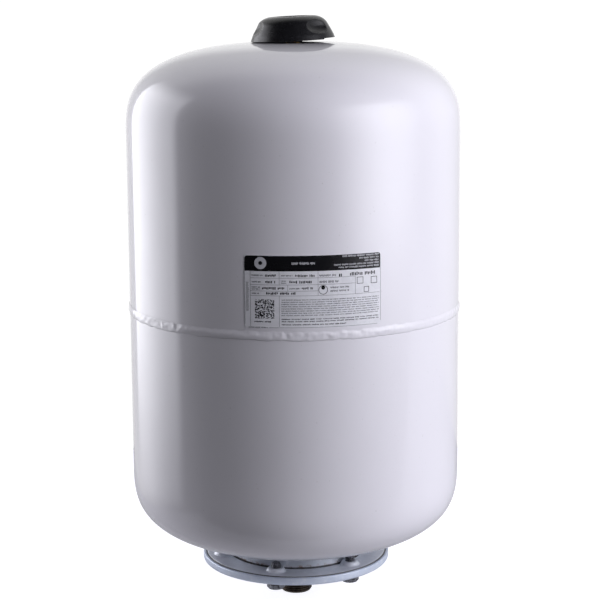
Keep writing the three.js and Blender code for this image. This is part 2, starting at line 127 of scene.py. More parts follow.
pipe = Sizes(radius=13.22, bore=10.2, chamfer=1.4, pitch=1.814, thread_depth=1.05, thread_top_z=25)
pipe_weld = Sizes(leg=3.1)
bladder = Sizes(lip_radius=57.6, lip=1.5, neck_wall=3, wall=2, neck_outer=53.8)
bulb = Sizes(centre_z=215, radius=111.5, upper_rise=149.5, lower_drop=165)

ferrule = Sizes(radius=8, flange_radius=11, bottom_z=448, top_z=460.1, bore=4.4, flange_top_z=458.2)
o_ring = Sizes(section=0.62, centre_radius=4.97, centre_z=459.12, seat_radius=6.4, seat_depth=1.9)
stem = Sizes(
    bottom_z=446, top_z=476, root=4.05, root_top_z=458, radius=3.75, chamfer=0.6, pitch=0.794,
    thread_depth=0.4,
)
stem_bore = Sizes(radius=2.4, seat_radius=1.3, step_z=459.3)
stem_hex = Sizes(flats=9, bottom_z=460.4, height=2.9)
core = Sizes(bottom_z=466.6, top_z=475, radius=2.1, bore=1.05, pitch=0.7, thread_depth=0.25)
pin = Sizes(radius=0.7, top_z=475.7, tail_radius=0.6, tail_z=461.9, disc_radius=1.9, disc_top_z=465, disc=0.6)
pin_seal = Sizes(top_z=466.3, thickness=1.1, radius=1.9, hole=0.9)
spring = Sizes(coil=1.3, wire=0.25, turns=4.5, bottom_z=459.6, top_z=464.1)

cap = Sizes(
    bottom_z=461.1, radius=33.9, wall=2.2, top_z=479.95, tilt=-2.4, tilt_z=470, recess=12.8,
    recess_depth=0.8,
)
cap_shoulder = Sizes(centre_radius=16, centre_z=469.8, half_width=13, rise=10.1, start=22, inner_drop=1.8)
cap_skirt = Sizes(waist_in=1.5, waist_up=4.2, top_in=3.4, top_up=8, inner_top_up=7.6)
cap_socket = Sizes(outer=6.6, bore=4.25, bottom_z=464, roof_z=477.95)
cap_seal = Sizes(radius=3.85, hole=1.6, bottom_z=476.4, thickness=1.15)
dimple = Sizes(azimuths=(44, -76, 164), radius=29.1, z=471.9, depth=2.9, lean=30, blend=0.5)
dimple_ball = Sizes(across=26, along=10.4, deep=12)
step = Sizes(from_azimuth=47, to_azimuth=133, height=0.9)

plate = Sizes(
    from_azimuth=-15.9, to_azimuth=29.1, bottom_z=252.2, height=55.4, corner=2.6, thickness=0.12, lift=0.06,
)

# ---------------------------------------------------------------- profiles and meshes


def arc(centre, radii, start, end, steps):
    """Points on an ellipse's arc, angles in degrees from the radius axis, in a (radius, z) profile."""
    angles = np.radians(np.linspace(start, end, steps + 1))
    return [(centre[0] + radii[0] * math.cos(a), centre[1] + radii[1] * math.sin(a)) for a in angles]


def straight(start, end, step):
    """Points from start up to, but without, end, at most a step apart."""
    count = max(1, math.ceil(math.dist(start, end) / step))
    return [tuple(np.add(start, np.subtract(end, start) * i / count)) for i in range(count)]


def path(corners, step):
    """Points along a line of corners, up to but without its last one."""
    points = []
    for start, end in zip(corners, corners[1:]):
        points += straight(start, end, step)
    return points


def dome_profile(dome, inset, end_radius, steps):
    """A superellipse dome from its cylinder towards the axis, moved inwards by inset."""
    radius = dome.radius - inset
    rise = dome.rise - math.copysign(inset, dome.rise)
    last = math.acos((end_radius / radius) ** (dome.radial_power / 2))
    angles = [last * i / steps for i in range(steps + 1)]
    return [
        (
            radius * math.cos(a) ** (2 / dome.radial_power),
            dome.tangent_z + rise * math.sin(a) ** (2 / dome.rise_power),
        )
        for a in angles
    ]


def filleted(corners, steps=4):
    """A closed profile from (radius, z, fillet) corners, each corner rounded by its fillet."""
    points = []
    for i, (radius, z, fillet) in enumerate(corners):
        if not fillet:
            points.append((radius, z))
            continue
        here = Vector((radius, z))
        back = (Vector(corners[i - 1][:2]) - here).normalized()
        ahead = (Vector(corners[(i + 1) % len(corners)][:2]) - here).normalized()
        half = back.angle(ahead) / 2
        centre = here + (back + ahead).normalized() * (fillet / math.sin(half))
        reach = fillet / math.tan(half)
        first = here + back * reach - centre
        last = here + ahead * reach - centre
        for k in range(steps + 1):
            points.append(tuple(centre + first.lerp(last, k / steps).normalized() * fillet))
    return points


def subdivided(profile, step):
    """The closed profile with no stretch longer than a step."""
    return path(profile + profile[:1], step)


def turned(profile, segments, shape=None):
    """Vertices and faces of a closed profile turned about +Z.

    shape(radius, z, azimuth), given arrays, may return a changed radius and z for each point.
    """
    radius, z = (np.array(values, float) for values in zip(*profile))
    azimuth = np.radians(np.arange(segments) * 360 / segments)
    radius, azimuth_grid = np.meshgrid(radius, azimuth)
    z = np.broadcast_to(z, radius.shape)
    if shape:
        radius, z = shape(radius, z, azimuth_grid)
    vertices = np.stack([radius * np.sin(azimuth_grid), -radius * np.cos(azimuth_grid), z], axis=-1)
    count = len(profile)
    here = np.arange(segments)[:, None] * count
    beyond = np.roll(here, -1, axis=0)
    along = np.arange(count)[None, :]
    after = np.roll(along, -1, axis=1)
    faces = np.stack([here + along, here + after, beyond + after, beyond + along], axis=-1)
    return vertices.reshape(-1, 3), faces.reshape(-1, 4)


def new_object(name, data):
    """An object of the scene that holds the mesh, lamp or camera data."""
    made = bpy.data.objects.new(name, data)
    bpy.context.scene.collection.objects.link(made)
    return made


def make_object(name, vertices, faces):
    """A clean closed mesh object from millimetre vertices, its faces pointing out."""
    mesh = bpy.data.meshes.new(name)
    mesh.from_pydata((np.asarray(vertices) * MM).tolist(), [], np.asarray(faces).tolist())
    tidy = bmesh.new()
    tidy.from_mesh(mesh)
    bmesh.ops.remove_doubles(tidy, verts=tidy.verts, dist=1e-6)
    loose = [edge for edge in tidy.edges if not edge.link_faces]
    bmesh.ops.delete(tidy, geom=loose, context="EDGES")
    bmesh.ops.recalc_face_normals(tidy, faces=tidy.faces)
    tidy.to_mesh(mesh)
    tidy.free()
    return new_object(name, mesh)


def cut(piece, tools):
    """Take the tools' volumes out of a piece."""
    for tool in tools:
        change = piece.modifiers.new("cut", "BOOLEAN")
        change.operation = "DIFFERENCE"
        change.solver = "EXACT"
        change.object = tool
    bpy.context.view_layer.update()
    graph = bpy.context.evaluated_depsgraph_get()
    mesh = bpy.data.meshes.new_from_object(piece.evaluated_get(graph))
    piece.modifiers.clear()
    piece.data = mesh
    for tool in tools:
        bpy.data.objects.remove(tool)


def finish_piece(piece, node, look, sharp_angle=40):
    """Give a piece its material and smooth shading, and let it stand for its CAD node."""
    mesh = piece.data
    mesh.materials.clear()
    mesh.materials.append(look)
    mesh.shade_smooth()
    mesh.set_sharp_from_angle(angle=math.radians(sharp_angle))
    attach(piece, frame["nodes"][node]["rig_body"])
    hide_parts(node)
    return piece


def turned_piece(node, profile, segments, look, shape=None, sharp_angle=40):
    """A finished piece of revolution that stands for its CAD node."""
    vertices, faces = turned(profile, segments, shape)
    piece = make_object(f"{node}_fine", vertices, faces)
    return finish_piece(piece, node, look, sharp_angle)


def bolt_place(index):
    """A bolt's place in the flange plane."""
    angle = math.radians(bolt.first_azimuth + index * 360 / bolt.count)
    return Vector((bolt.circle * math.sin(angle), -bolt.circle * math.cos(angle), 0))


BOLT_PLACES = [bolt_place(i) for i in range(bolt.count)]


def rod_tool(place, radius, bottom_z, top_z, segments=48):
    """A plain rod used to cut a hole."""
    profile = [(0, bottom_z), (radius, bottom_z), (radius, top_z), (0, top_z)]
    vertices, faces = turned(profile, segments)
    return make_object("hole_tool", vertices + np.array(place), faces)


def drill_bolt_holes(piece, bottom_z, top_z):
    """Cut a hole for each bolt."""
    cut(piece, [rod_tool(place, ring.hole, bottom_z, top_z) for place in BOLT_PLACES])


def wander(azimuth, z, radius, size, seed, height=1.0):
    """Smooth random values from -1 to 1 over a round surface, one wave every size millimetres."""
    spots = np.stack(
        [radius * np.sin(azimuth) / size, radius * np.cos(azimuth) / size, z * height / size + seed], axis=-1
    )
    values = [noise.noise(Vector(spot)) for spot in spots.reshape(-1, 3)]
    return np.array(values).reshape(azimuth.shape)


def thread(pitch, depth, bottom_z, top_z, crest, rounded=False):
    """A shape that cuts a right-hand thread into the part of a turned piece at its crest radius."""

    def shape(radius, z, azimuth):
        phase = (z / pitch - azimuth / (2 * math.pi)) % 1
        groove = 1 - np.abs(2 * phase - 1)
        if rounded:
            groove = 0.5 - 0.5 * np.cos(math.pi * np.clip(groove * 1.25 - 0.125, 0, 1))
        else:
            groove = np.clip(groove * 1.4 - 0.2, 0, 1)
        fade = np.clip((z - bottom_z) / pitch + 0.35, 0, 1) * np.clip((top_z - z) / pitch + 0.2, 0, 1)
        on_crest = (np.abs(radius - crest) < 0.02) & (z >= bottom_z - 0.01) & (z <= top_z + 0.01)
        return np.where(on_crest, radius - depth * groove * fade, radius), z

    return shape


def hexagon(radius, azimuth, flats):
    """The radius kept inside a hexagon with a flat towards the front and slightly rounded corners."""
    spokes = [np.maximum(np.cos(azimuth - k * math.pi / 3), 0) for k in range(6)]
    softness = 60
    reach = sum(spoke ** softness for spoke in spokes) ** (1 / softness)
    return np.minimum(radius, flats / 2 / reach)


# ---------------------------------------------------------------- material helpers


NOISE_LOW, NOISE_HIGH = 0.3, 0.7  # most of a noise's values lie between these


class Graph:
    """Short ways to add nodes to a node tree. A value may be a number, a colour or another output."""

    def __init__(self, tree):
        self.tree = tree

    def node(self, kind, inputs=(), **settings):
        made = self.tree.nodes.new(kind)
        for name, value in settings.items():
            setattr(made, name, value)
        for key, value in dict(inputs).items():
            self.feed(made.inputs[key], value)
        return made

    def feed(self, socket, value):
        if isinstance(value, bpy.types.NodeSocket):
            self.tree.links.new(value, socket)
        else:
            socket.default_value = value

    def math(self, operation, *values):
        made = self.node("ShaderNodeMath", enumerate(values), operation=operation)
        return made.outputs[0]

    def place(self, stretch=(1, 1, 1)):
        """Where a point is in the object's own space, in metres, stretched along each axis."""
        coordinates = self.node("ShaderNodeTexCoord").outputs["Object"]
        return self.node("ShaderNodeMapping", {"Vector": coordinates, "Scale": stretch}).outputs[0]

    def noise(self, size, detail=2, stretch=(1, 1, 1), roughness=0.5):
        """Smooth noise from 0 to 1 with waves of a size in millimetres."""
        place = self.place(stretch)
        settings = {"Vector": place, "Scale": 1 / (size * MM), "Detail": detail, "Roughness": roughness}
        return self.node("ShaderNodeTexNoise", settings).outputs[0]

    def clouds(self, size, detail, low, high):
        """A colour that drifts between two colours in clouds of a size in millimetres."""
        return self.blend(self.noise(size, detail), low, high)

    def drift(self, size, detail, low, high):
        """A number that drifts between two numbers, for a roughness that varies over the surface."""
        return self.spread(self.noise(size, detail), NOISE_LOW, NOISE_HIGH, low, high)

    def spread(self, value, start, end, low, high):
        """The value's stretch from start to end turned into low to high, and held outside it."""
        limits = {"Value": value, "From Min": start, "From Max": end, "To Min": low, "To Max": high}
        return self.node("ShaderNodeMapRange", limits).outputs[0]

    def blend(self, amount, first, second):
        """A colour between two colours."""
        mix = self.node("ShaderNodeMix", data_type="RGBA")
        for name, value in (("Factor_Float", amount), ("A_Color", first), ("B_Color", second)):
            self.feed(next(s for s in mix.inputs if s.identifier == name), value)
        return next(s for s in mix.outputs if s.identifier == "Result_Color")

    def height(self, value):
        """How high a point stands above the object's base, in millimetres."""
        split = self.node("ShaderNodeSeparateXYZ", {"Vector": self.place()})
        return self.math("MULTIPLY_ADD", split.outputs["Z"], 1 / MM, -value)


def tone(red, green, blue):
    """A linear colour from display values out of 255."""
    steps = [value / 255 for value in (red, green, blue)]
    return tuple(s / 12.92 if s <= 0.04045 else ((s + 0.055) / 1.055) ** 2.4 for s in steps) + (1.0,)


def new_look(name, **constants):
    """A material with a Principled shader whose constant inputs are set, and the graph to add to."""
    material = bpy.data.materials.new(name)
    material.use_nodes = True
    shader = material.node_tree.nodes["Principled BSDF"]
    for key, value in constants.items():
        shader.inputs[key.replace("_", " ")].default_value = value
    return material, Graph(material.node_tree), shader


def connect(graph, shader, bumps=(), **values):
    """Feed the shader's inputs, and its normal from (height, distance in mm) bumps, one on another."""
    for key, value in values.items():
        graph.feed(shader.inputs[key.replace("_", " ")], value)
    normal = None
    for height, distance in bumps:
        bump = graph.node("ShaderNodeBump", {"Height": height, "Distance": distance * MM})
        if normal:
            graph.feed(bump.inputs["Normal"], normal)
        normal = bump.outputs[0]
    if normal:
        graph.feed(shader.inputs["Normal"], normal)


# ---------------------------------------------------------------- materials


def paint(name, dulling=0.0):
    """Gloss white coat with faint orange peel, slow waves from drawing the sheet, and a few dust specks."""
    look, graph, shader = new_look(name, IOR=1.5, Coat_Weight=1.0, Coat_Roughness=0.025)
    colour = graph.clouds(70, 3, tone(222, 220, 227), tone(227, 225, 232))
    specks = graph.spread(graph.noise(1.6, detail=1), 0.76, 0.8, 0, 1)
    colour = graph.blend(graph.math("MULTIPLY", specks, 0.3), colour, tone(150, 146, 142))
    gloss = graph.drift(26, 4, 0.44 + dulling, 0.5 + dulling)
    peel = graph.noise(1.5, detail=1)
    waves = graph.noise(34, detail=1, stretch=(1, 1, 0.45))
    connect(graph, shader, [(waves, 0.16), (peel, 0.012)], Base_Color=colour, Roughness=gloss)
    return look


def zinc(name, dark, light, rust_from=None, crevice_shade=None):
    """Blue-passivated zinc plate, clouded and finely crystalline.

    Rust marks stand up to 3 mm above the height rust_from. A band of painted shade, dark as the shadow in the
    crevice between parts, lies between the two given heights.
    """
    look, graph, shader = new_look(name, IOR=1.6)
    colour = graph.blend(graph.noise(14, detail=4, roughness=0.6), dark, light)
    whitish = graph.spread(graph.noise(5, detail=3), 0.55, 0.75, 0, 0.6)
    colour = graph.blend(whitish, colour, tone(232, 236, 242))
    metal = graph.spread(whitish, 0, 0.6, 0.5, 0.25)
    if rust_from:
        marks = graph.spread(graph.noise(3.2, detail=4, roughness=0.7), 0.5, 0.6, 0, 1)
        patches = graph.spread(graph.noise(24, detail=1), 0.4, 0.52, 0, 1)
        low = graph.spread(graph.height(rust_from), 0.4, 3.2, 1, 0)
        rust = graph.math("MULTIPLY", graph.math("MULTIPLY", marks, patches), low)
        colour = graph.blend(rust, colour, tone(122, 78, 40))
        metal = graph.math("MULTIPLY", metal, graph.math("SUBTRACT", 1, rust))
    # Painted shade: a dark band from the lower height up to the upper one, fading out over 0.3 mm, stands for
    # the shadow in the crevice between parts.
    if crevice_shade:
        depth = crevice_shade[1] - crevice_shade[0]
        line = graph.spread(graph.height(crevice_shade[0]), depth, depth + 0.3, 0.9, 0)
        colour = graph.blend(line, colour, tone(40, 35, 32))
        metal = graph.math("MULTIPLY", metal, graph.math("SUBTRACT", 1, line))
    gloss = graph.drift(6, 3, 0.38, 0.52)
    grain = graph.noise(0.5, detail=2)
    connect(graph, shader, [(grain, 0.02)], Base_Color=colour, Roughness=gloss, Metallic=metal)
    return look


def steel(name, dark, light, gloss=(0.28, 0.45), lathe=0.0, grime=0.0):
    """Plain or plated steel with machining lines round the axis and grime in small random patches."""
    look, graph, shader = new_look(name, Metallic=1.0)
    colour = graph.clouds(3, 4, dark, light)
    if grime:
        dirt = graph.spread(graph.noise(1.3, detail=3), 0.42, 0.62, 0, grime)
        colour = graph.blend(dirt, colour, tone(46, 40, 34))
    finish = graph.drift(2, 3, *gloss)
    grain = graph.noise(0.35, detail=2)
    lines = graph.noise(0.16, detail=1, stretch=(0.02, 0.02, 1))
    connect(graph, shader, [(lines, lathe), (grain, 0.015)], Base_Color=colour, Roughness=finish)
    return look


def brass():
    """Turned brass, slightly tarnished."""
    look, graph, shader = new_look("valve_brass", Metallic=1.0)
    colour = graph.clouds(2.4, 4, tone(196, 148, 72), tone(226, 184, 104))
    tarnish = graph.spread(graph.noise(1.1, detail=3), 0.55, 0.75, 0, 0.5)
    colour = graph.blend(tarnish, colour, tone(120, 84, 44))
    gloss = graph.drift(1.8, 2, 0.18, 0.32)
    lines = graph.noise(0.14, detail=1, stretch=(0.02, 0.02, 1))
    connect(graph, shader, [(lines, 0.01)], Base_Color=colour, Roughness=gloss)
    return look


def moulded_plastic():
    """Black moulded plastic: satin, fine-grained, with light rub marks."""
    look, graph, shader = new_look("cap_plastic", IOR=1.5)
    colour = graph.clouds(9, 3, tone(21, 21, 23), tone(27, 27, 30))
    rubs = graph.spread(graph.noise(1.2, detail=4, stretch=(0.35, 0.35, 2.2)), 0.6, 0.72, 0, 0.5)
    colour = graph.blend(rubs, colour, tone(58, 57, 61))
    gloss = graph.drift(3, 3, 0.24, 0.36)
    gloss = graph.math("ADD", gloss, graph.math("MULTIPLY", rubs, 0.2))
    grain = graph.noise(0.45, detail=2)
    connect(graph, shader, [(grain, 0.02)], Base_Color=colour, Roughness=gloss)
    return look


def rubber(name, bloom=0.3):
    """Matt black rubber with a grey bloom and fine pimples."""
    look, graph, shader = new_look(name, IOR=1.5)
    colour = graph.clouds(12, 3, tone(26, 26, 27), tone(36, 36, 37))
    dust = graph.spread(graph.noise(4, detail=4), 0.5, 0.75, 0, bloom)
    colour = graph.blend(dust, colour, tone(86, 86, 86))
    gloss = graph.drift(5, 2, 0.6, 0.78)
    connect(graph, shader, [(graph.noise(0.6, detail=2), 0.03)], Base_Color=colour, Roughness=gloss)
    return look


# ---------------------------------------------------------------- the nameplate's print

# Places are millimetres across and up from the nameplate's lower left corner.
header = Sizes(bottom=43.3, side=0.45, corner=2.2)
table = Sizes(left=4.9, right=105.2, bottom=1.2, line=0.22)
border = Sizes(left=0.5, right=106.1, bottom=0.5, corner=2.8, foot_end=19)
table_rows = (  # up, from, to
    (border.bottom, border.foot_end, border.right - border.corner),
    (38.1, table.left, 85), (33, table.left, 85), (28.3, table.left, 56), (24.7, table.left, table.right),
)
table_columns = (  # across, from, to
    (border.left, border.corner, header.bottom), (border.right, border.corner, header.bottom),
    (table.left, table.bottom, header.bottom), (26.9, table.bottom, 24.7), (26.9, 33, header.bottom),
    (33.3, 28.3, 33), (56, 24.7, header.bottom), (85, 24.7, 38.1),
)
# Rows of plain upright strokes that stand for print without being letters:
# left, right, bottom, height of a line, number of lines, pitch of the lines, pitch of the strokes.
bold_rows = (
    (16.3, 25.8, 39.1, 2, 1, 0, 1.05), (38.8, 54.7, 38.9, 2, 1, 0, 1.05), (71.6, 75.8, 38.4, 2.8, 1, 0, 1.4),
    (80.3, 104.2, 38.7, 2.8, 1, 0, 1.3), (16.3, 24.4, 34.2, 2.1, 1, 0, 1.1),
    (34.3, 52.6, 34.1, 2.2, 1, 0, 1.2), (13.8, 31.2, 29.5, 2, 1, 0, 1.05), (43.6, 53.3, 29.5, 2, 1, 0, 1.05),
    (16.6, 39.8, 25.7, 1.9, 1, 0, 1.15), (7.6, 21.4, 4.4, 1.2, 1, 0, 0.8),
    (28.4, 105, 4.7, 0.95, 2, 1.75, 0.62), (28.4, 78, 2.3, 0.95, 1, 0, 0.62),
)
grey_rows = (
    (3.3, 18.3, 0.15, 0.8, 1, 0, 0.42),
    (6, 15, 39.6, 1.2, 1, 0, 0.5), (28.2, 37.4, 39.4, 1.2, 1, 0, 0.5), (57, 70, 38.9, 1.9, 1, 0, 0.8),
    (6, 13.4, 34.6, 1.2, 1, 0, 0.5), (28.2, 32.4, 33.9, 1, 2, 1.6, 0.5), (5.8, 13, 29.2, 1, 2, 1.5, 0.5),
    (34.4, 42.6, 29.6, 1.2, 1, 0, 0.5), (6, 12, 25.9, 1.1, 1, 0, 0.5), (28.4, 105, 9.4, 0.85, 8, 1.68, 0.5),
    (56.9, 72.4, 34.1, 1.9, 1, 0, 0.72), (65.2, 80.4, 27.1, 1.5, 2, 2.7, 0.72),
)
pale_rows = (
    (36.1, 54.2, 48.3, 2, 1, 0, 0.72), (74.5, 105, 53.1, 1.4, 1, 0, 0.56), (88, 105, 51, 1.4, 1, 0, 0.56),
    (92.5, 105, 48.9, 1.4, 1, 0, 0.56), (68, 105, 46.8, 1.4, 1, 0, 0.56), (71.5, 105, 44.7, 1.4, 1, 0, 0.56),
)
side_strokes = Sizes(left=1.4, width=2.5, bottom=13, top=35, pitch=0.62, fill=0.35)
code_block = Sizes(left=8.4, bottom=7.3, side=14.6, cells=25)
badge = Sizes(across=12.8, up=49.4, radius=4.6, hole=1.5)
dial = Sizes(across=59.9, up=28.9, radius=3.5, line=0.4, disc=1.5, disc_lift=1.7)
marks = ((86.2, 32.2, 5.2), (97.8, 31.8, 5.2), (91.9, 25.5, 4.2))  # left, bottom and side of open squares
MARK_LINE = 0.4
INK_SEED = 11


def film(name, colour_low, colour_high, gloss_low, gloss_high):
    """Printed film or ink: slightly clouded, satin, and rippled a little where it was rolled on."""
    look, graph, shader = new_look(name, IOR=1.48)
    colour = graph.clouds(18, 3, colour_low, colour_high)
    gloss = graph.drift(8, 3, gloss_low, gloss_high)
    connect(graph, shader, [(graph.noise(22, detail=1), 0.05)], Base_Color=colour, Roughness=gloss)
    return look


film_look = film("label_film", tone(221, 221, 227), tone(228, 228, 234), 0.22, 0.32)
ink_looks = {
    "black": film("ink_black", tone(18, 18, 20), tone(24, 24, 27), 0.2, 0.3),
    "grey": film("ink_grey", tone(84, 84, 90), tone(98, 98, 104), 0.24, 0.34),
    "pale": film("ink_pale", tone(186, 186, 192), tone(196, 196, 202), 0.24, 0.34),
}

FILM_OUTER = upper_dome.radius + plate.lift + plate.thickness
PLATE_WIDTH = math.radians(plate.to_azimuth - plate.from_azimuth) * FILM_OUTER


def on_shell(across, up, radius):
    """Points at a radius over the flat layout's (across, up) millimetres."""
    angle = math.radians(plate.from_azimuth) + np.asarray(across) / FILM_OUTER
    return np.stack([radius * np.sin(angle), -radius * np.cos(angle), plate.bottom_z + up], axis=-1)


def bent_sheet(across, up, inner, outer):
    """A closed sheet bent round the shell from a grid of flat places."""
    rows, columns = across.shape
    corner = np.arange(rows - 1)[:, None] * columns + np.arange(columns - 1)[None, :]
    skin = np.stack([corner, corner + 1, corner + columns + 1, corner + columns], axis=-1).reshape(-1, 4)
    grid = np.arange(rows * columns).reshape(rows, columns)
    rim = np.concatenate([grid[0], grid[1:, -1], grid[-1, -2::-1], grid[-2:0:-1, 0]])
    beyond = np.roll(rim, -1)
    edge = np.stack([rim, beyond, beyond + rows * columns, rim + rows * columns], axis=-1)
    vertices = [on_shell(across, up, radius).reshape(-1, 3) for radius in (inner, outer)]
    return np.concatenate(vertices), np.concatenate([skin[:, ::-1], skin + rows * columns, edge])


def rounded_sheet(left, right, bottom, top, low_corner, high_corner, inner, outer, step=2.0):
    """A bent sheet with rounded corners, each pair with its own radius."""
    turn = np.linspace(0, math.pi / 2, 7)
    low_rise, low_inset = low_corner * (1 - np.cos(turn)), low_corner * (1 - np.sin(turn))
    high_rise, high_inset = high_corner * (1 - np.cos(turn)), high_corner * (1 - np.sin(turn))
    middle = np.linspace(bottom + low_corner, top - high_corner, 12)[1:-1]
    up = np.concatenate([bottom + low_rise, middle, top - high_rise[::-1]])
    inset = np.concatenate([low_inset, np.zeros(len(middle)), high_inset[::-1]])
    share = np.linspace(0, 1, max(2, math.ceil((right - left) / step) + 1))
    across = left + inset[:, None] + share[None, :] * (right - left - 2 * inset[:, None])
    return bent_sheet(across, np.broadcast_to(up[:, None], across.shape), inner, outer)


class Print:
    """Ink patches gathered by colour, each a thin closed sheet that stands a little proud of the film."""

    def __init__(self):
        self.vertices, self.faces, self.colours, self.count = [], [], [], 0
        self.inner, self.outer = FILM_OUTER - 0.04, FILM_OUTER + 0.04

    def add(self, colour, vertices, faces):
        self.vertices.append(vertices)
        self.faces.append(faces + self.count)
        self.colours += [list(ink_looks).index(colour)] * len(faces)
        self.count += len(vertices)

    def box(self, colour, left, right, bottom, top):
        columns = np.linspace(left, right, max(2, math.ceil((right - left) / 2.5) + 1))
        across, up = np.meshgrid(columns, [bottom, top])
        self.add(colour, *bent_sheet(across, up, self.inner, self.outer))

    def ring(self, colour, across, up, inner, outer, steps=40):
        turn = np.linspace(0, 2 * math.pi, steps, endpoint=False)
        loops = []
        low, high = self.inner, self.outer
        for height, radius in ((low, inner), (low, outer), (high, outer), (high, inner)):
            loops.append(on_shell(across + radius * np.cos(turn), up + radius * np.sin(turn), height))
        here = np.arange(4 * steps).reshape(4, steps)
        above, beside = np.roll(here, -1, axis=0), np.roll(here, -1, axis=1)
        corner = np.roll(above, -1, axis=1)
        self.add(colour, np.concatenate(loops), np.stack([here, beside, corner, above], -1).reshape(-1, 4))

    def square(self, colour, left, bottom, side, line):
        right, top, gap = left + side, bottom + side, line + 0.02
        self.box(colour, left, left + line, bottom, top)
        self.box(colour, right - line, right, bottom, top)
        self.box(colour, left + gap, right - gap, bottom, bottom + line)
        self.box(colour, left + gap, right - gap, top - line, top)

    def rows(self, colour, left, right, bottom, height, lines, pitch, stroke, dice):
        """Lines of upright strokes of uneven height, broken into words."""
        for line in range(lines):
            place = left + stroke * dice.uniform(0, 0.4)
            while place < right - stroke:
                for _ in range(dice.integers(4, 13)):
                    low = bottom + line * pitch + height * dice.choice([0, 0, 0.22])
                    high = bottom + line * pitch + height * dice.uniform(0.72, 1)
                    if place < right - stroke:
                        self.box(colour, place, place + stroke * dice.uniform(0.55, 0.72), low, high)
                    place += stroke
                place += stroke * 1.2

    def piece(self, name):
        made = make_object(name, np.concatenate(self.vertices), np.concatenate(self.faces))
        for look in ink_looks.values():
            made.data.materials.append(look)
        made.data.polygons.foreach_set("material_index", self.colours)
        made.data.shade_smooth()
        made.data.set_sharp_from_angle(angle=math.radians(30))
        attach(made, frame["nodes"]["nameplate"]["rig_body"])
        return made


def nameplate():
    """The film, and its generic print: a black header, a table, rows of strokes, a code block and a dial."""
    vertices, faces = rounded_sheet(
        0, PLATE_WIDTH, 0, plate.height, plate.corner, plate.corner, FILM_OUTER - plate.thickness, FILM_OUTER,
    )
    finish_piece(make_object("nameplate_fine", vertices, faces), "nameplate", film_look)
    dice = np.random.default_rng(INK_SEED)
    ink = Print()
    top = plate.height - header.side
    header_sheet = (header.side, PLATE_WIDTH - header.side, header.bottom, top, 0.05, header.corner)
    ink.add("black", *rounded_sheet(*header_sheet, ink.inner, ink.outer))
    half = table.line / 2
    for up, low, high in table_rows:
        ink.box("grey", low, high, up - half, up + half)
    for across, low, high in table_columns:
        ink.box("grey", across - half, across + half, low, high)
    for colour, blocks in (("black", bold_rows), ("grey", grey_rows)):
        for block in blocks:
            ink.rows(colour, *block, dice)
    for place in np.arange(side_strokes.bottom, side_strokes.top, side_strokes.pitch):
        right = side_strokes.left + side_strokes.width * dice.uniform(0.7, 1)
        ink.box("grey", side_strokes.left, right, place, place + side_strokes.pitch * side_strokes.fill)
    cell = code_block.side / code_block.cells
    for row, filled in enumerate(dice.random((code_block.cells, code_block.cells)) > 0.5):
        runs = np.flatnonzero(np.diff(np.concatenate([[0], filled, [0]])))
        low = code_block.bottom + row * cell
        for start, end in code_block.left + runs.reshape(-1, 2) * cell:
            ink.box("black", start, end, low, low + cell * 0.96)
    ink.ring("black", dial.across, dial.up, dial.radius - dial.line, dial.radius)
    ink.ring("black", dial.across, dial.up + dial.disc_lift, 0.1, dial.disc, 24)
    for left, bottom, side in marks:
        ink.square("black", left, bottom, side, MARK_LINE)
    ink.inner, ink.outer = ink.inner + 0.05, ink.outer + 0.05
    for block in pale_rows:
        ink.rows("pale", *block, dice)
    ink.ring("pale", badge.across, badge.up, badge.hole, badge.radius)
    ink.piece("nameplate_print")


# ---------------------------------------------------------------- shells and seam

vessel_paint = paint("vessel_paint")
weld_paint = paint("weld_paint", dulling=0.06)
zinc_plate = zinc("zinc_plate", tone(196, 207, 226), tone(222, 229, 242))
# The ring's side, up to just under its top, gets painted shade for the shadow of the crevice inside the
# counterflange's rim.
ring_zinc = zinc(
    "ring_zinc", tone(204, 210, 220), tone(228, 231, 237), crevice_shade=(ring.bottom_z, ring.top_z - 0.45),
)
# The neck's foot, up to just above the ring, gets painted shade for the shadow of its crevice with the ring;
# the rust marks are real.
neck_zinc = zinc(
    "neck_zinc", tone(190, 196, 206), tone(216, 221, 229),
    rust_from=ring.top_z, crevice_shade=(ring.bottom_z, ring.top_z + 0.7),
)
bolt_steel = steel("bolt_steel", tone(120, 122, 128), tone(176, 178, 184), grime=0.75)
pipe_steel = steel("pipe_steel", tone(70, 62, 54), tone(118, 108, 98), grime=0.6)
bare_steel = steel("bare_steel", tone(150, 150, 150), tone(190, 190, 188), lathe=0.02)
valve_brass = brass()
cap_plastic = moulded_plastic()
seal_rubber = rubber("seal_rubber")
bladder_rubber = rubber("bladder_rubber", bloom=0.5)

SHELL_SEGMENTS = 240
DOME_STEPS = 56


def dents(depth, size, seed):
    """A shape with the faint unevenness of deep-drawn sheet."""

    def shape(radius, z, azimuth):
        return radius + depth * (wander(azimuth, z, radius, size, seed, 0.6) - 0.5), z

    return shape


def upper_shell():
    hole = ferrule.radius + 0.3
    outer = dome_profile(upper_dome, 0, hole, DOME_STEPS)
    inner = dome_profile(upper_dome, WALL, hole, DOME_STEPS)
    edge_z = SEAM_Z - 1
    outside = straight((upper_dome.radius, edge_z), outer[0], 12)
    inside_wall = straight(inner[0], (inner[0][0], edge_z), 12)
    profile = outside + outer + inner[::-1] + inside_wall[1:] + [(inner[0][0], edge_z)]
    turned_piece("upper_shell", profile, SHELL_SEGMENTS, vessel_paint, dents(0.12, 90, 3))


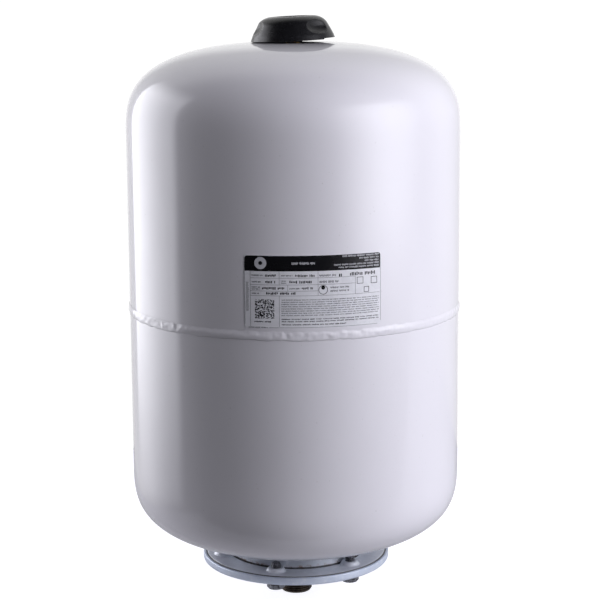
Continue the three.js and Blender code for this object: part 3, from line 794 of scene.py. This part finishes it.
def lower_shell():
    mouth = neck.radius + 0.45
    outer = dome_profile(lower_dome, 0, mouth, DOME_STEPS)
    inner = dome_profile(lower_dome, WALL, mouth, DOME_STEPS)
    ramp_top = joggle.shoulder_z + joggle.ramp
    outside = straight(outer[0], (SHELL_RADIUS, joggle.shoulder_z - 0.3), 12)
    inside_wall = straight(inner[0], (inner[0][0], joggle.shoulder_z - WALL / 2), 12)
    profile = (
        outer[::-1] + outside[1:]
        + [(SHELL_RADIUS, joggle.shoulder_z), (joggle.radius, ramp_top), (joggle.radius, joggle.top_z)]
        + [(joggle.radius - WALL, joggle.top_z), (joggle.radius - WALL, ramp_top - WALL / 2)]
        + [(inner[0][0], joggle.shoulder_z - WALL / 2)] + inside_wall[:0:-1] + inner
    )
    turned_piece("lower_shell", profile, SHELL_SEGMENTS, vessel_paint, dents(0.12, 90, 8))


def seam_weld():
    """The painted bead: it swells gently out of the upper shell and turns in sharply at its lower toe."""
    top_z, bottom_z = SEAM_Z + bead.half_height, SEAM_Z - bead.half_height
    share = np.concatenate([np.linspace(0, bead.crest, 14), np.linspace(bead.crest, 1, 13)[1:]])
    rising = np.sin(np.clip(share / bead.crest, 0, 1) * math.pi / 2) ** 2
    falling = np.sqrt(1 - (np.clip(share - bead.crest, 0, 1) / (1 - bead.crest)) ** 2)
    swell = np.where(share < bead.crest, rising, falling)
    toe = upper_dome.radius + (SHELL_RADIUS - upper_dome.radius) * share + 0.02
    face = list(zip(toe + bead.bulge * swell, top_z + (bottom_z - top_z) * share))
    groove = joggle.radius + 0.25
    profile = [(groove, SEAM_Z - 1.3)] + face + [(groove, joggle.shoulder_z + joggle.ramp + 0.5)]
    highest = cad_box[1].x / MM

    def shape(radius, z, azimuth):
        on_face = radius > groove + 0.1
        across = (top_z - z) / (top_z - bottom_z)
        crown = np.sin(np.clip(across, 0, 1) * math.pi)
        around = np.degrees((azimuth + math.pi) % (2 * math.pi) - math.pi)
        rough = np.exp(-((around - bead.start) / bead.start_width) ** 2)
        rough = rough + 0.5 * np.exp(-((around - bead.repair) / bead.repair_width) ** 2)
        reach = bead_lumps.radius
        long_lumps = wander(azimuth, z * 0, reach, bead_lumps.long, 5) * bead_lumps.long_depth
        short_depth = bead_lumps.short_depth + bead_lumps.patch_depth * rough
        lumps = long_lumps + (wander(azimuth, z, reach, bead_lumps.short, 9) - 0.5) * short_depth
        ripple = np.cos(azimuth * bead_ripple.count + across ** 2 * bead_ripple.lean) * bead_ripple.depth
        toes = (wander(azimuth, z * 0, reach, bead_toe.long, 21) - 0.5) * bead_toe.depth
        toes = toes + (wander(azimuth, z, reach, bead_toe.short, 2) - 0.5) * bead_toe.depth
        moved = radius + crown * (lumps + ripple)
        moved_z = z + toes * np.abs(2 * across - 1) ** 1.5
        return np.where(on_face, np.minimum(moved, highest), radius), np.where(on_face, moved_z, z)

    turned_piece("seam_weld", profile, 900, weld_paint, shape, sharp_angle=75)


# ---------------------------------------------------------------- neck and bolted flange


def neck_collar():
    bore = neck.radius - WALL
    lip_top = neck.bottom_z + WALL
    profile = filleted([
        (bore, neck.bottom_z, 0.9), (neck.lip_radius, neck.bottom_z, 0.3), (neck.lip_radius, lip_top, 0.3),
        (neck.radius, lip_top, 0.8), (neck.radius, neck.top_z, 0.2), (bore, neck.top_z, 0.2),
    ])
    turned_piece("neck_collar", subdivided(profile, 3), 180, neck_zinc)


def neck_weld():
    inner = neck.radius + 0.25
    top = neck_fillet.bottom_z + neck_fillet.leg_down
    outer = inner + neck_fillet.leg_out
    legs = (neck_fillet.leg_out, neck_fillet.leg_down - 0.5)
    hollow = arc((outer, neck_fillet.bottom_z), legs, 175, 95, 10)
    profile = [(inner, neck_fillet.bottom_z), *hollow, (outer, top), (inner, top - 0.35)]

    def shape(radius, z, azimuth):
        free = (radius > inner + 0.1) & (z < top - 0.4)
        ripple = np.cos(azimuth * 150 + z) * 0.08 + wander(azimuth, z, 56, 6, 4) * 0.25
        return np.where(free, radius + ripple - 0.1, radius), z

    turned_piece("neck_weld", profile, 450, neck_zinc, shape)


def backing_ring():
    """The loose ring, with a punched and tapped boss drawn up round each bolt."""
    top = [(r, ring.top_z) for r in np.linspace(ring.outer - ring.edge, ring.inner + ring.edge, 44)]
    profile = [
        (ring.inner, ring.bottom_z), (ring.outer, ring.bottom_z), (ring.outer, ring.top_z - ring.edge), *top,
        (ring.inner, ring.top_z - ring.edge),
    ]

    def shape(radius, z, azimuth):
        across, deep = radius * np.sin(azimuth), -radius * np.cos(azimuth)
        nearest = np.min([np.hypot(across - place.x, deep - place.y) for place in BOLT_PLACES], axis=0)
        rise = np.clip((boss.foot_radius - nearest) / (boss.foot_radius - boss.top_radius), 0, 1)
        rise = rise * rise * (3 - 2 * rise) * boss.height
        sag = wander(azimuth, z, radius, 24, 12) * 0.12 - 0.08
        return radius, np.where(z > ring.top_z - 0.05, z + rise + sag, z)

    vertices, faces = turned(profile, 540, shape)
    piece = make_object("backing_ring_fine", vertices, faces)
    drill_bolt_holes(piece, ring.bottom_z - 2, BOLT_END_Z)
    finish_piece(piece, "backing_ring", ring_zinc)


def counterflange():
    """The pressed cup whose rim turns up round the backing ring."""
    floor_top = flange.under_z + flange.floor
    hole = pipe.radius + 0.3
    rim_inner = flange.radius - flange.rim_wall
    profile = filleted([
        (hole, flange.under_z, 0.2), (flange.radius, flange.under_z, flange.corner),
        (flange.radius, flange.rim_top_z, 0.75), (rim_inner, flange.rim_top_z, 0.7),
        (rim_inner, floor_top, 0.9), (hole, floor_top, 0.2),
    ], steps=7)

    def shape(radius, z, azimuth):
        return radius, z + (z > flange.rim_top_z - 2) * (wander(azimuth, z * 0, 78, 40, 6) * 0.3 - 0.15)

    vertices, faces = turned(subdivided(profile, 2.5), 300, shape)
    piece = make_object("counterflange_fine", vertices, faces)
    drill_bolt_holes(piece, flange.under_z - 5, floor_top + 1)
    finish_piece(piece, "counterflange", zinc_plate)


def flange_bolts():
    """Flanged hexagon bolts with rolled threads, all from one shape and with a flat towards the front."""
    head_z = BOLT_SEAT_Z - bolt_head.height
    cone_z = BOLT_SEAT_Z - bolt_head.flange_height
    hex_top = cone_z - bolt_head.cone_height
    corner = bolt_head.flats / math.sqrt(3)
    thread_z = BOLT_SEAT_Z + 0.6
    crest = straight((bolt.radius, thread_z), (bolt.radius, BOLT_END_Z - bolt.chamfer), bolt.pitch / 10)
    edge = arc(
        (bolt_head.flange_radius - 0.55, (cone_z + BOLT_SEAT_Z) / 2), (0.55, bolt_head.flange_height / 2),
        -80, 80, 5,
    )
    profile = (
        [(0, head_z + 0.5), (3.4, head_z + 0.5), (3.9, head_z)]
        + [(bolt_head.flats / 2 - 0.35, head_z), (corner, head_z + 1)]
        + straight((corner, head_z + 1.1), (corner, hex_top + 0.6), 0.6)
        + [(corner, hex_top + 0.6), (bolt_head.flats / 2 + 0.75, hex_top + 0.15)]
        + [(bolt_head.flange_radius - 0.3, cone_z - 0.1)]
        + edge
        + [(bolt_head.flange_radius - 0.6, BOLT_SEAT_Z), (bolt.radius + 0.3, BOLT_SEAT_Z)]
        + crest
        + [(bolt.radius - bolt.thread_depth, BOLT_END_Z - bolt.chamfer * 0.4)]
        + [(bolt.radius - bolt.chamfer, BOLT_END_Z), (0, BOLT_END_Z)]
    )
    rolled = thread(bolt.pitch, bolt.thread_depth, thread_z, BOLT_END_Z, bolt.radius)

    def shape(radius, z, azimuth):
        in_head = (z > head_z - 0.01) & (z < hex_top + 0.05) | (radius > corner - 0.01) & (z < hex_top + 0.61)
        radius = np.where(in_head, hexagon(radius, azimuth, bolt_head.flats), radius)
        return rolled(radius, z, azimuth)

    vertices, faces = turned(profile, 72, shape)
    for number, place in enumerate(BOLT_PLACES, start=1):
        piece = make_object(f"flange_bolt_{number}_fine", vertices + np.array(place), faces)
        finish_piece(piece, f"flange_bolt_{number}", bolt_steel, sharp_angle=32)


def water_connection():
    """The pipe connection with its parallel pipe thread, and a chamfer on the outer and inner edge of its
    end.
    """
    top = flange.under_z + flange.floor
    crest = straight((pipe.radius, pipe.chamfer), (pipe.radius, pipe.thread_top_z), pipe.pitch / 12)
    profile = (
        [(pipe.bore + 0.5, 0), (pipe.radius - pipe.chamfer, 0)] + crest
        + [(pipe.radius, pipe.thread_top_z), (pipe.radius, top), (pipe.bore, top), (pipe.bore, 0.5)]
    )
    shape = thread(pipe.pitch, pipe.thread_depth, pipe.chamfer, pipe.thread_top_z, pipe.radius, rounded=True)
    turned_piece("water_connection", profile, 120, pipe_steel, shape)


def connection_weld():
    inner = pipe.radius + 0.2
    top = flange.under_z - 0.1
    profile = [
        (inner, top - pipe_weld.leg),
        *arc((inner + pipe_weld.leg, top - pipe_weld.leg), (pipe_weld.leg, pipe_weld.leg), 178, 92, 8),
        (inner, top),
    ]

    def shape(radius, z, azimuth):
        free = (radius > inner + 0.05) & (z < top - 0.05)
        swell = np.cos(azimuth * 46 + z * 0.6) * 0.14 + wander(azimuth, z, 15, 5, 7) * 0.25
        return np.where(free, radius + swell + 0.4, radius), z

    turned_piece("connection_weld", profile, 360, zinc_plate, shape, sharp_angle=60)


def bladder_bag():
    """The half-filled rubber bladder: a clamped lip, a neck and a bulb with soft moulded folds."""
    lip_bottom = flange.under_z + flange.floor + 0.25
    lip_top = lip_bottom + bladder.lip
    neck_inner = bladder.neck_outer - bladder.neck_wall
    inner_radius = bulb.radius - bladder.wall
    start = math.degrees(math.acos(bladder.neck_outer / bulb.radius))
    inner_start = math.degrees(math.acos(neck_inner / inner_radius))
    outer = arc((0, bulb.centre_z), (bulb.radius, bulb.lower_drop), -start, 0, 28)
    outer += arc((0, bulb.centre_z), (bulb.radius, bulb.upper_rise), 0, 90, 30)[1:]
    inner = arc((0, bulb.centre_z), (inner_radius, bulb.upper_rise - bladder.wall), 90, 0, 30)
    inner += arc((0, bulb.centre_z), (inner_radius, bulb.lower_drop - bladder.wall), 0, -inner_start, 28)[1:]
    profile = inner + [
        (neck_inner, lip_bottom + 0.2), (neck_inner + 0.2, lip_bottom),
        (bladder.lip_radius - 0.3, lip_bottom), (bladder.lip_radius, lip_bottom + 0.3),
        (bladder.lip_radius, lip_top - 0.3),
        (bladder.lip_radius - 0.3, lip_top), (bladder.neck_outer + 0.4, lip_top),
        (bladder.neck_outer, lip_top + 0.4),
    ] + outer

    def shape(radius, z, azimuth):
        height = np.clip((z - 60) / 120, 0, 1)
        folds = (np.cos(azimuth * 6 + 0.8) - 1) * 1.6 + (wander(azimuth, z, 60, 55, 3) - 1) * 2.2
        return radius + folds * height * np.clip(radius / 60, 0, 1), z

    turned_piece("bladder", profile, 144, bladder_rubber, shape)


# ---------------------------------------------------------------- air valve


def valve_ferrule():
    low = ferrule.top_z - o_ring.seat_depth
    profile = filleted([
        (ferrule.bore, ferrule.bottom_z, 0.3), (ferrule.flange_radius, ferrule.bottom_z, 0.5),
        (ferrule.flange_radius, ferrule.flange_top_z, 0.4), (ferrule.radius, ferrule.flange_top_z, 0.2),
        (ferrule.radius, ferrule.top_z, 0.35), (o_ring.seat_radius, ferrule.top_z, 0.15),
        (o_ring.seat_radius - 0.5, low, 0.1), (ferrule.bore, low, 0.15),
    ])
    turned_piece("valve_ferrule", subdivided(profile, 1), 96, bare_steel)


def valve_o_ring():
    profile = arc((o_ring.centre_radius, o_ring.centre_z), (o_ring.section, o_ring.section), 0, 345, 23)
    turned_piece("valve_o_ring", profile, 72, seal_rubber)


def valve_stem():
    """The brass stem: threaded root, chamfered hexagon, cap thread and a stepped bore."""
    hex_top = stem_hex.bottom_z + stem_hex.height
    corner = stem_hex.flats / math.sqrt(3)
    root = straight((stem.root, stem.bottom_z + 0.5), (stem.root, stem.root_top_z), stem.pitch / 8)
    crest = straight((stem.radius, hex_top + 0.5), (stem.radius, stem.top_z - stem.chamfer), stem.pitch / 8)
    outside = (
        [(stem_bore.seat_radius, stem.bottom_z), (stem.root - 0.5, stem.bottom_z)] + root
        + [(stem.root, stem.root_top_z), (stem.root - 0.2, stem_hex.bottom_z - 0.1)]
        + [(stem_hex.flats / 2 - 0.2, stem_hex.bottom_z), (corner, stem_hex.bottom_z + 0.45)]
        + straight((corner, stem_hex.bottom_z + 0.5), (corner, hex_top - 0.5), 0.5)
        + [(corner, hex_top - 0.45), (stem_hex.flats / 2 - 0.2, hex_top), (stem.radius - 0.3, hex_top)]
        + [(stem.radius - 0.3, hex_top + 0.4)] + crest
        + [(stem.radius - stem.chamfer, stem.top_z)]
    )
    bore = [
        (stem_bore.radius, stem.top_z), (stem_bore.radius, stem_bore.step_z),
        (stem_bore.seat_radius, stem_bore.step_z),
    ]
    lower = thread(stem.pitch, stem.thread_depth, stem.bottom_z + 0.5, stem.root_top_z, stem.root)
    upper = thread(stem.pitch, stem.thread_depth, hex_top + 0.5, stem.top_z, stem.radius)

    def shape(radius, z, azimuth):
        in_hex = (z > stem_hex.bottom_z - 0.01) & (z < hex_top + 0.01) & (radius > stem.radius + 0.1)
        radius = np.where(in_hex, hexagon(radius, azimuth, stem_hex.flats), radius)
        return upper(*lower(radius, z, azimuth), azimuth)

    turned_piece("valve_stem", outside + bore, 72, valve_brass, shape, sharp_angle=32)


def valve_core():
    crest = straight((core.radius, core.bottom_z + 0.8), (core.radius, core.top_z - 2.6), core.pitch / 7)
    profile = (
        [(core.bore, core.bottom_z), (core.radius - 0.4, core.bottom_z)] + crest
        + [(core.radius, core.top_z - 2.6), (core.radius - 0.5, core.top_z - 2.2)]
        + [(core.radius - 0.5, core.top_z - 0.2), (core.radius - 0.7, core.top_z), (core.bore, core.top_z)]
    )
    shape = thread(core.pitch, core.thread_depth, core.bottom_z + 0.8, core.top_z - 2.6, core.radius)
    turned_piece("valve_core", profile, 48, valve_brass, shape)


def valve_pin():
    disc_bottom = pin.disc_top_z - pin.disc
    profile = (
        [(0, pin.tail_z), (pin.tail_radius - 0.15, pin.tail_z), (pin.tail_radius, pin.tail_z + 0.2)]
        + [(pin.tail_radius, disc_bottom), (pin.disc_radius - 0.1, disc_bottom)]
        + [(pin.disc_radius, disc_bottom + 0.1), (pin.disc_radius, pin.disc_top_z - 0.1)]
        + [(pin.disc_radius - 0.1, pin.disc_top_z)]
        + [(pin.radius, pin.disc_top_z), (pin.radius, pin.top_z - 0.35)]
        + arc((0, pin.top_z - 0.35), (pin.radius, 0.35), 15, 90, 6)
    )
    turned_piece("valve_pin", subdivided(profile, 1.5), 36, valve_brass)


def valve_pin_seal():
    bottom = pin_seal.top_z - pin_seal.thickness
    profile = filleted([
        (pin_seal.hole, bottom, 0.1), (pin_seal.radius, bottom, 0.1), (pin_seal.radius, pin_seal.top_z, 0.35),
        (pin_seal.hole, pin_seal.top_z, 0.1),
    ])
    turned_piece("valve_pin_seal", profile, 48, seal_rubber)


def valve_spring():
    """A round wire swept along its coil, thinned towards both ends and closed flat there."""
    steps = round(spring.turns * 28)
    around = 12
    turn = np.linspace(0, spring.turns * 2 * math.pi, steps + 1)
    low, high = spring.bottom_z + spring.wire, spring.top_z - spring.wire
    height = np.linspace(low, high, steps + 1)
    middle = np.stack([spring.coil * np.cos(turn), spring.coil * np.sin(turn), height], -1)
    outward = np.stack([np.cos(turn), np.sin(turn), turn * 0], -1)
    thickness = spring.wire * np.clip(np.minimum(turn, turn[::-1]) / 0.12, 0.35, 1)
    section = np.arange(around) * 2 * math.pi / around
    level = np.cos(section)[None, :, None] * outward[:, None]
    upright = np.sin(section)[None, :, None] * np.array([0, 0, 1])
    rings = middle[:, None] + thickness[:, None, None] * (level + upright)
    grid = np.arange((steps + 1) * around).reshape(steps + 1, around)
    beside = np.roll(grid, -1, axis=1)
    sides = np.stack([grid[:-1], grid[1:], beside[1:], beside[:-1]], axis=-1).reshape(-1, 4).tolist()
    piece = make_object("valve_spring_fine", rings.reshape(-1, 3), sides)
    close = bmesh.new()
    close.from_mesh(piece.data)
    bmesh.ops.holes_fill(close, edges=close.edges)
    bmesh.ops.recalc_face_normals(close, faces=close.faces)
    close.to_mesh(piece.data)
    close.free()
    finish_piece(piece, "valve_spring", bare_steel)
    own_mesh(piece)


# ---------------------------------------------------------------- valve cap


def dimple_wall(z, azimuth, margin):
    """The smallest radius at which a level ray from the axis enters one of the dimples' balls."""
    reach = dimple_ball.deep - dimple.depth
    lean = math.radians(dimple.lean)
    centre = np.array([0, -dimple.radius - reach * math.cos(lean), dimple.z + reach * math.sin(lean)])
    half = np.array([dimple_ball.across, dimple_ball.deep, dimple_ball.along]) + margin
    tilt = np.array(Matrix.Rotation(lean, 3, "X"))
    nearest = np.full(z.shape, np.inf)
    for middle in dimple.azimuths:
        angle = azimuth - math.radians(middle)
        ray = np.stack([np.sin(angle), -np.cos(angle), np.zeros_like(angle)], axis=-1) @ tilt.T / half
        start = (np.stack([z * 0, z * 0, z], axis=-1) - centre) @ tilt.T / half
        a = (ray * ray).sum(-1)
        b = (ray * start).sum(-1)
        c = (start * start).sum(-1) - 1
        inside_root = b * b - a * c
        entry = (-b - np.sqrt(np.maximum(inside_root, 0))) / a
        nearest = np.where((inside_root > 0) & (entry > 0), np.minimum(nearest, entry), nearest)
    return nearest


def soft_minimum(first, second, blend):
    """The smaller of two values, with the corner between them rounded over a blend."""
    gap = np.clip(0.5 + 0.5 * (second - first) / blend, 0, 1)
    second = np.where(np.isfinite(second), second, first + blend)
    return second * (1 - gap) + first * gap - blend * gap * (1 - gap)


def valve_cap():
    """The moulded cap: conical skirt, round shoulder, shallow recess on top, three finger dimples."""
    side = [
        (cap.radius - 0.35, cap.bottom_z), (cap.radius, cap.bottom_z + 0.3),
        (cap.radius - cap_skirt.waist_in, cap.bottom_z + cap_skirt.waist_up),
        (cap.radius - cap_skirt.top_in, cap.bottom_z + cap_skirt.top_up),
    ]
    shoulder = arc(
        (cap_shoulder.centre_radius, cap_shoulder.centre_z), (cap_shoulder.half_width, cap_shoulder.rise),
        cap_shoulder.start, 90, 22,
    )
    recess_z = cap.top_z - cap.recess_depth
    crown = [(cap.recess + 1, cap.top_z), (cap.recess + 0.35, cap.top_z - 0.2), (cap.recess, recess_z + 0.15)]
    centre = [(cap.recess - 0.3, recess_z), (2.4, recess_z), (2, recess_z - 0.15), (0, recess_z - 0.2)]
    outside = path(side + shoulder[:1], 0.6) + shoulder + straight(shoulder[-1], crown[0], 1) + crown + centre
    drop = cap_shoulder.inner_drop
    inner_shoulder = arc(
        (cap_shoulder.centre_radius - 2, cap_shoulder.centre_z - drop),
        (cap_shoulder.half_width - 0.2, cap_socket.roof_z - cap_shoulder.centre_z + drop),
        90, cap_shoulder.start, 16,
    )
    roof = [(0, cap_socket.roof_z), (cap_socket.bore, cap_socket.roof_z)]
    bore_top, bore_end = cap_socket.roof_z - 0.1, cap_socket.bottom_z + 0.4
    bore = straight((cap_socket.bore, bore_top), (cap_socket.bore, bore_end), 0.2)
    socket = [
        (cap_socket.bore + 0.4, cap_socket.bottom_z), (cap_socket.outer - 0.4, cap_socket.bottom_z),
        (cap_socket.outer, cap_socket.bottom_z + 0.4), (cap_socket.outer, cap_socket.roof_z - 0.6),
        (cap_socket.outer + 0.6, cap_socket.roof_z),
    ]
    skirt_in = cap.radius - cap.wall
    inner_side = [
        (skirt_in - cap_skirt.top_in, cap.bottom_z + cap_skirt.inner_top_up),
        (skirt_in - cap_skirt.waist_in, cap.bottom_z + cap_skirt.waist_up),
        (skirt_in + 0.1, cap.bottom_z + 0.4), (skirt_in + 0.4, cap.bottom_z),
    ]
    hollow = path(inner_shoulder[-1:] + inner_side[:3], 0.8) + inner_side[2:]
    profile = outside + roof + bore + socket + inner_shoulder + hollow[1:]
    first_inner = len(outside) + len(roof) + len(bore) + len(socket)
    is_outside = np.arange(len(profile)) < len(outside)
    is_hollow = np.arange(len(profile)) >= first_inner
    female = thread(stem.pitch, -0.3, cap_socket.bottom_z + 1, cap_socket.roof_z - 1.4, cap_socket.bore)

    def shape(radius, z, azimuth):
        pressed = soft_minimum(radius, dimple_wall(z, azimuth, 0), dimple.blend)
        pushed = soft_minimum(radius, dimple_wall(z, azimuth, cap.wall), dimple.blend)
        radius = np.where(is_outside[None, :], np.minimum(pressed, radius), radius)
        radius = np.where(is_hollow[None, :], np.minimum(pushed, radius), radius)
        raised = (np.degrees(azimuth) > step.from_azimuth) & (np.degrees(azimuth) < step.to_azimuth)
        z = np.where(raised & (radius > cap_socket.outer + 1), np.maximum(z, cap.bottom_z + step.height), z)
        return female(radius, z, azimuth)

    vertices, faces = turned(profile, 300, shape)
    piece = make_object("valve_cap_fine", vertices, faces)
    pivot = Matrix.Translation((0, 0, cap.tilt_z * MM))
    skew = pivot @ Matrix.Rotation(math.radians(cap.tilt), 4, "Y") @ pivot.inverted()
    piece.data.transform(skew)
    finish_piece(piece, "valve_cap", cap_plastic)


def cap_seal_washer():
    top = cap_seal.bottom_z + cap_seal.thickness
    profile = filleted([
        (cap_seal.hole, cap_seal.bottom_z, 0.15), (cap_seal.radius, cap_seal.bottom_z, 0.2),
        (cap_seal.radius, top, 0.2), (cap_seal.hole, top, 0.15),
    ])
    turned_piece("cap_seal", profile, 60, seal_rubber)


for make in (
    upper_shell, lower_shell, seam_weld, nameplate, neck_collar, neck_weld, backing_ring, counterflange,
    flange_bolts, water_connection, connection_weld, bladder_bag, valve_ferrule, valve_o_ring, valve_stem,
    valve_core, valve_pin, valve_pin_seal, valve_spring, valve_cap, cap_seal_washer,
):
    make()


# ---------------------------------------------------------------- floor, world, lights and camera


FLOOR_EDGES = (-300, 2500, -180, 450)


def floor():
    """A plain pale table. It is brighter where the camera looks straight at it than in reflections."""
    left, right, front, back = FLOOR_EDGES
    corners = [(left, front, 0), (right, front, 0), (right, back, 0), (left, back, 0)]
    mesh = bpy.data.meshes.new("floor")
    mesh.from_pydata((np.array(corners) * MM).tolist(), [], [(0, 1, 2, 3)])
    plane = new_object("floor", mesh)
    look, graph, shader = new_look("floor", Roughness=0.85)
    seen = graph.node("ShaderNodeLightPath").outputs["Is Camera Ray"]
    colour = graph.clouds(240, 2, tone(150, 150, 156), tone(154, 154, 160))
    glow = graph.spread(seen, 0, 1, 0.2, 0.92)
    connect(graph, shader, Base_Color=colour, Emission_Strength=glow)
    shader.inputs["Emission Color"].default_value = tone(250, 250, 255)
    mesh.materials.append(look)


def world():
    """White to the camera; in reflections a dark room whose far wall is grey with a bright middle."""
    scene = bpy.context.scene
    scene.world = bpy.data.worlds.new("studio")
    scene.world.use_nodes = True
    graph = Graph(scene.world.node_tree)
    background = scene.world.node_tree.nodes["Background"]
    direction = graph.node("ShaderNodeTexCoord").outputs["Generated"]
    backwards = graph.node("ShaderNodeSeparateXYZ", {"Vector": direction}).outputs["Y"]
    seen = graph.node("ShaderNodeLightPath").outputs["Is Camera Ray"]
    grey_wall = graph.spread(backwards, 0.1, 0.5, 0, 0.64)
    white_middle = graph.spread(backwards, 0.8, 0.97, 0, 1)
    wall = graph.math("MAXIMUM", grey_wall, white_middle)
    to_camera = graph.math("MULTIPLY", seen, 1.05)
    graph.feed(background.inputs["Strength"], graph.math("MAXIMUM", wall, to_camera))
    background.inputs["Color"].default_value = tone(255, 255, 255)


LAMP_COLOUR = (0.985, 0.985, 1.05)


def softbox(name, place, towards, size, radiance, fade, mirrored=True):
    """A softbox at a place in metres, aimed at a point, with a surface radiance.

    fade gives the shares of its half width and half height over which it dims towards its edges.
    A softbox that isn't mirrored lights matt surfaces and shows in no reflection.
    """
    light = bpy.data.lights.new(name, "AREA")
    light.shape = "RECTANGLE"
    light.size, light.size_y = size
    light.color = LAMP_COLOUR
    light.energy = radiance * math.pi * size[0] * size[1]
    light.use_nodes = True
    graph = Graph(light.node_tree)
    flat = graph.node("ShaderNodeNewGeometry").outputs["Parametric"]
    split = graph.node("ShaderNodeSeparateXYZ", {"Vector": flat})
    strength = 1.0
    for axis, share in zip("XY", fade):
        from_edge = graph.math("PINGPONG", split.outputs[axis], 0.5)
        limits = {"Value": from_edge, "From Min": 0, "From Max": share / 2}
        ramp = graph.node("ShaderNodeMapRange", limits, interpolation_type="SMOOTHSTEP").outputs[0]
        strength = graph.math("MULTIPLY", strength, ramp)
    graph.feed(light.node_tree.nodes["Emission"].inputs["Strength"], strength)
    lamp = new_object(name, light)
    lamp.location = place
    lamp.rotation_euler = (Vector(towards) - Vector(place)).to_track_quat("-Z", "Y").to_euler()
    lamp.visible_camera = False
    lamp.visible_glossy = mirrored


def studio():
    world()
    middle = (0, 0, 0.3)
    softbox("left_softbox", (-1.0, 0.47, 0.5), (0, 0.47, 0.5), (1.41, 1.7), 2.6, (0.22, 0.6))
    softbox("right_key", (1.3, -0.76, 0.65), middle, (2.35, 1.65), 2.7, (1.0, 0.4))
    softbox("right_fill", (1.35, -0.79, 0.66), middle, (2.4, 1.7), 4.9, (1.0, 1.0), mirrored=False)
    softbox("high_right_fill", (0.9, -0.5, 1.7), middle, (1.6, 1.6), 2.5, (1.0, 1.0), mirrored=False)


view = Sizes(lens=107.4, place=(0.0063, -1.450, 0.517), pitch=79.52, roll=0.35)


def camera():
    """A long lens just above the height of the vessel's top, looking slightly down and rolled a trace."""
    data = bpy.data.cameras.new("camera")
    data.lens = view.lens
    data.sensor_width = 36
    eye = new_object("camera", data)
    eye.location = view.place
    eye.rotation_euler = (math.radians(view.pitch), math.radians(view.roll), 0)
    bpy.context.scene.camera = eye


floor()
studio()
camera()
bpy.context.scene.view_settings.view_transform = "Standard"
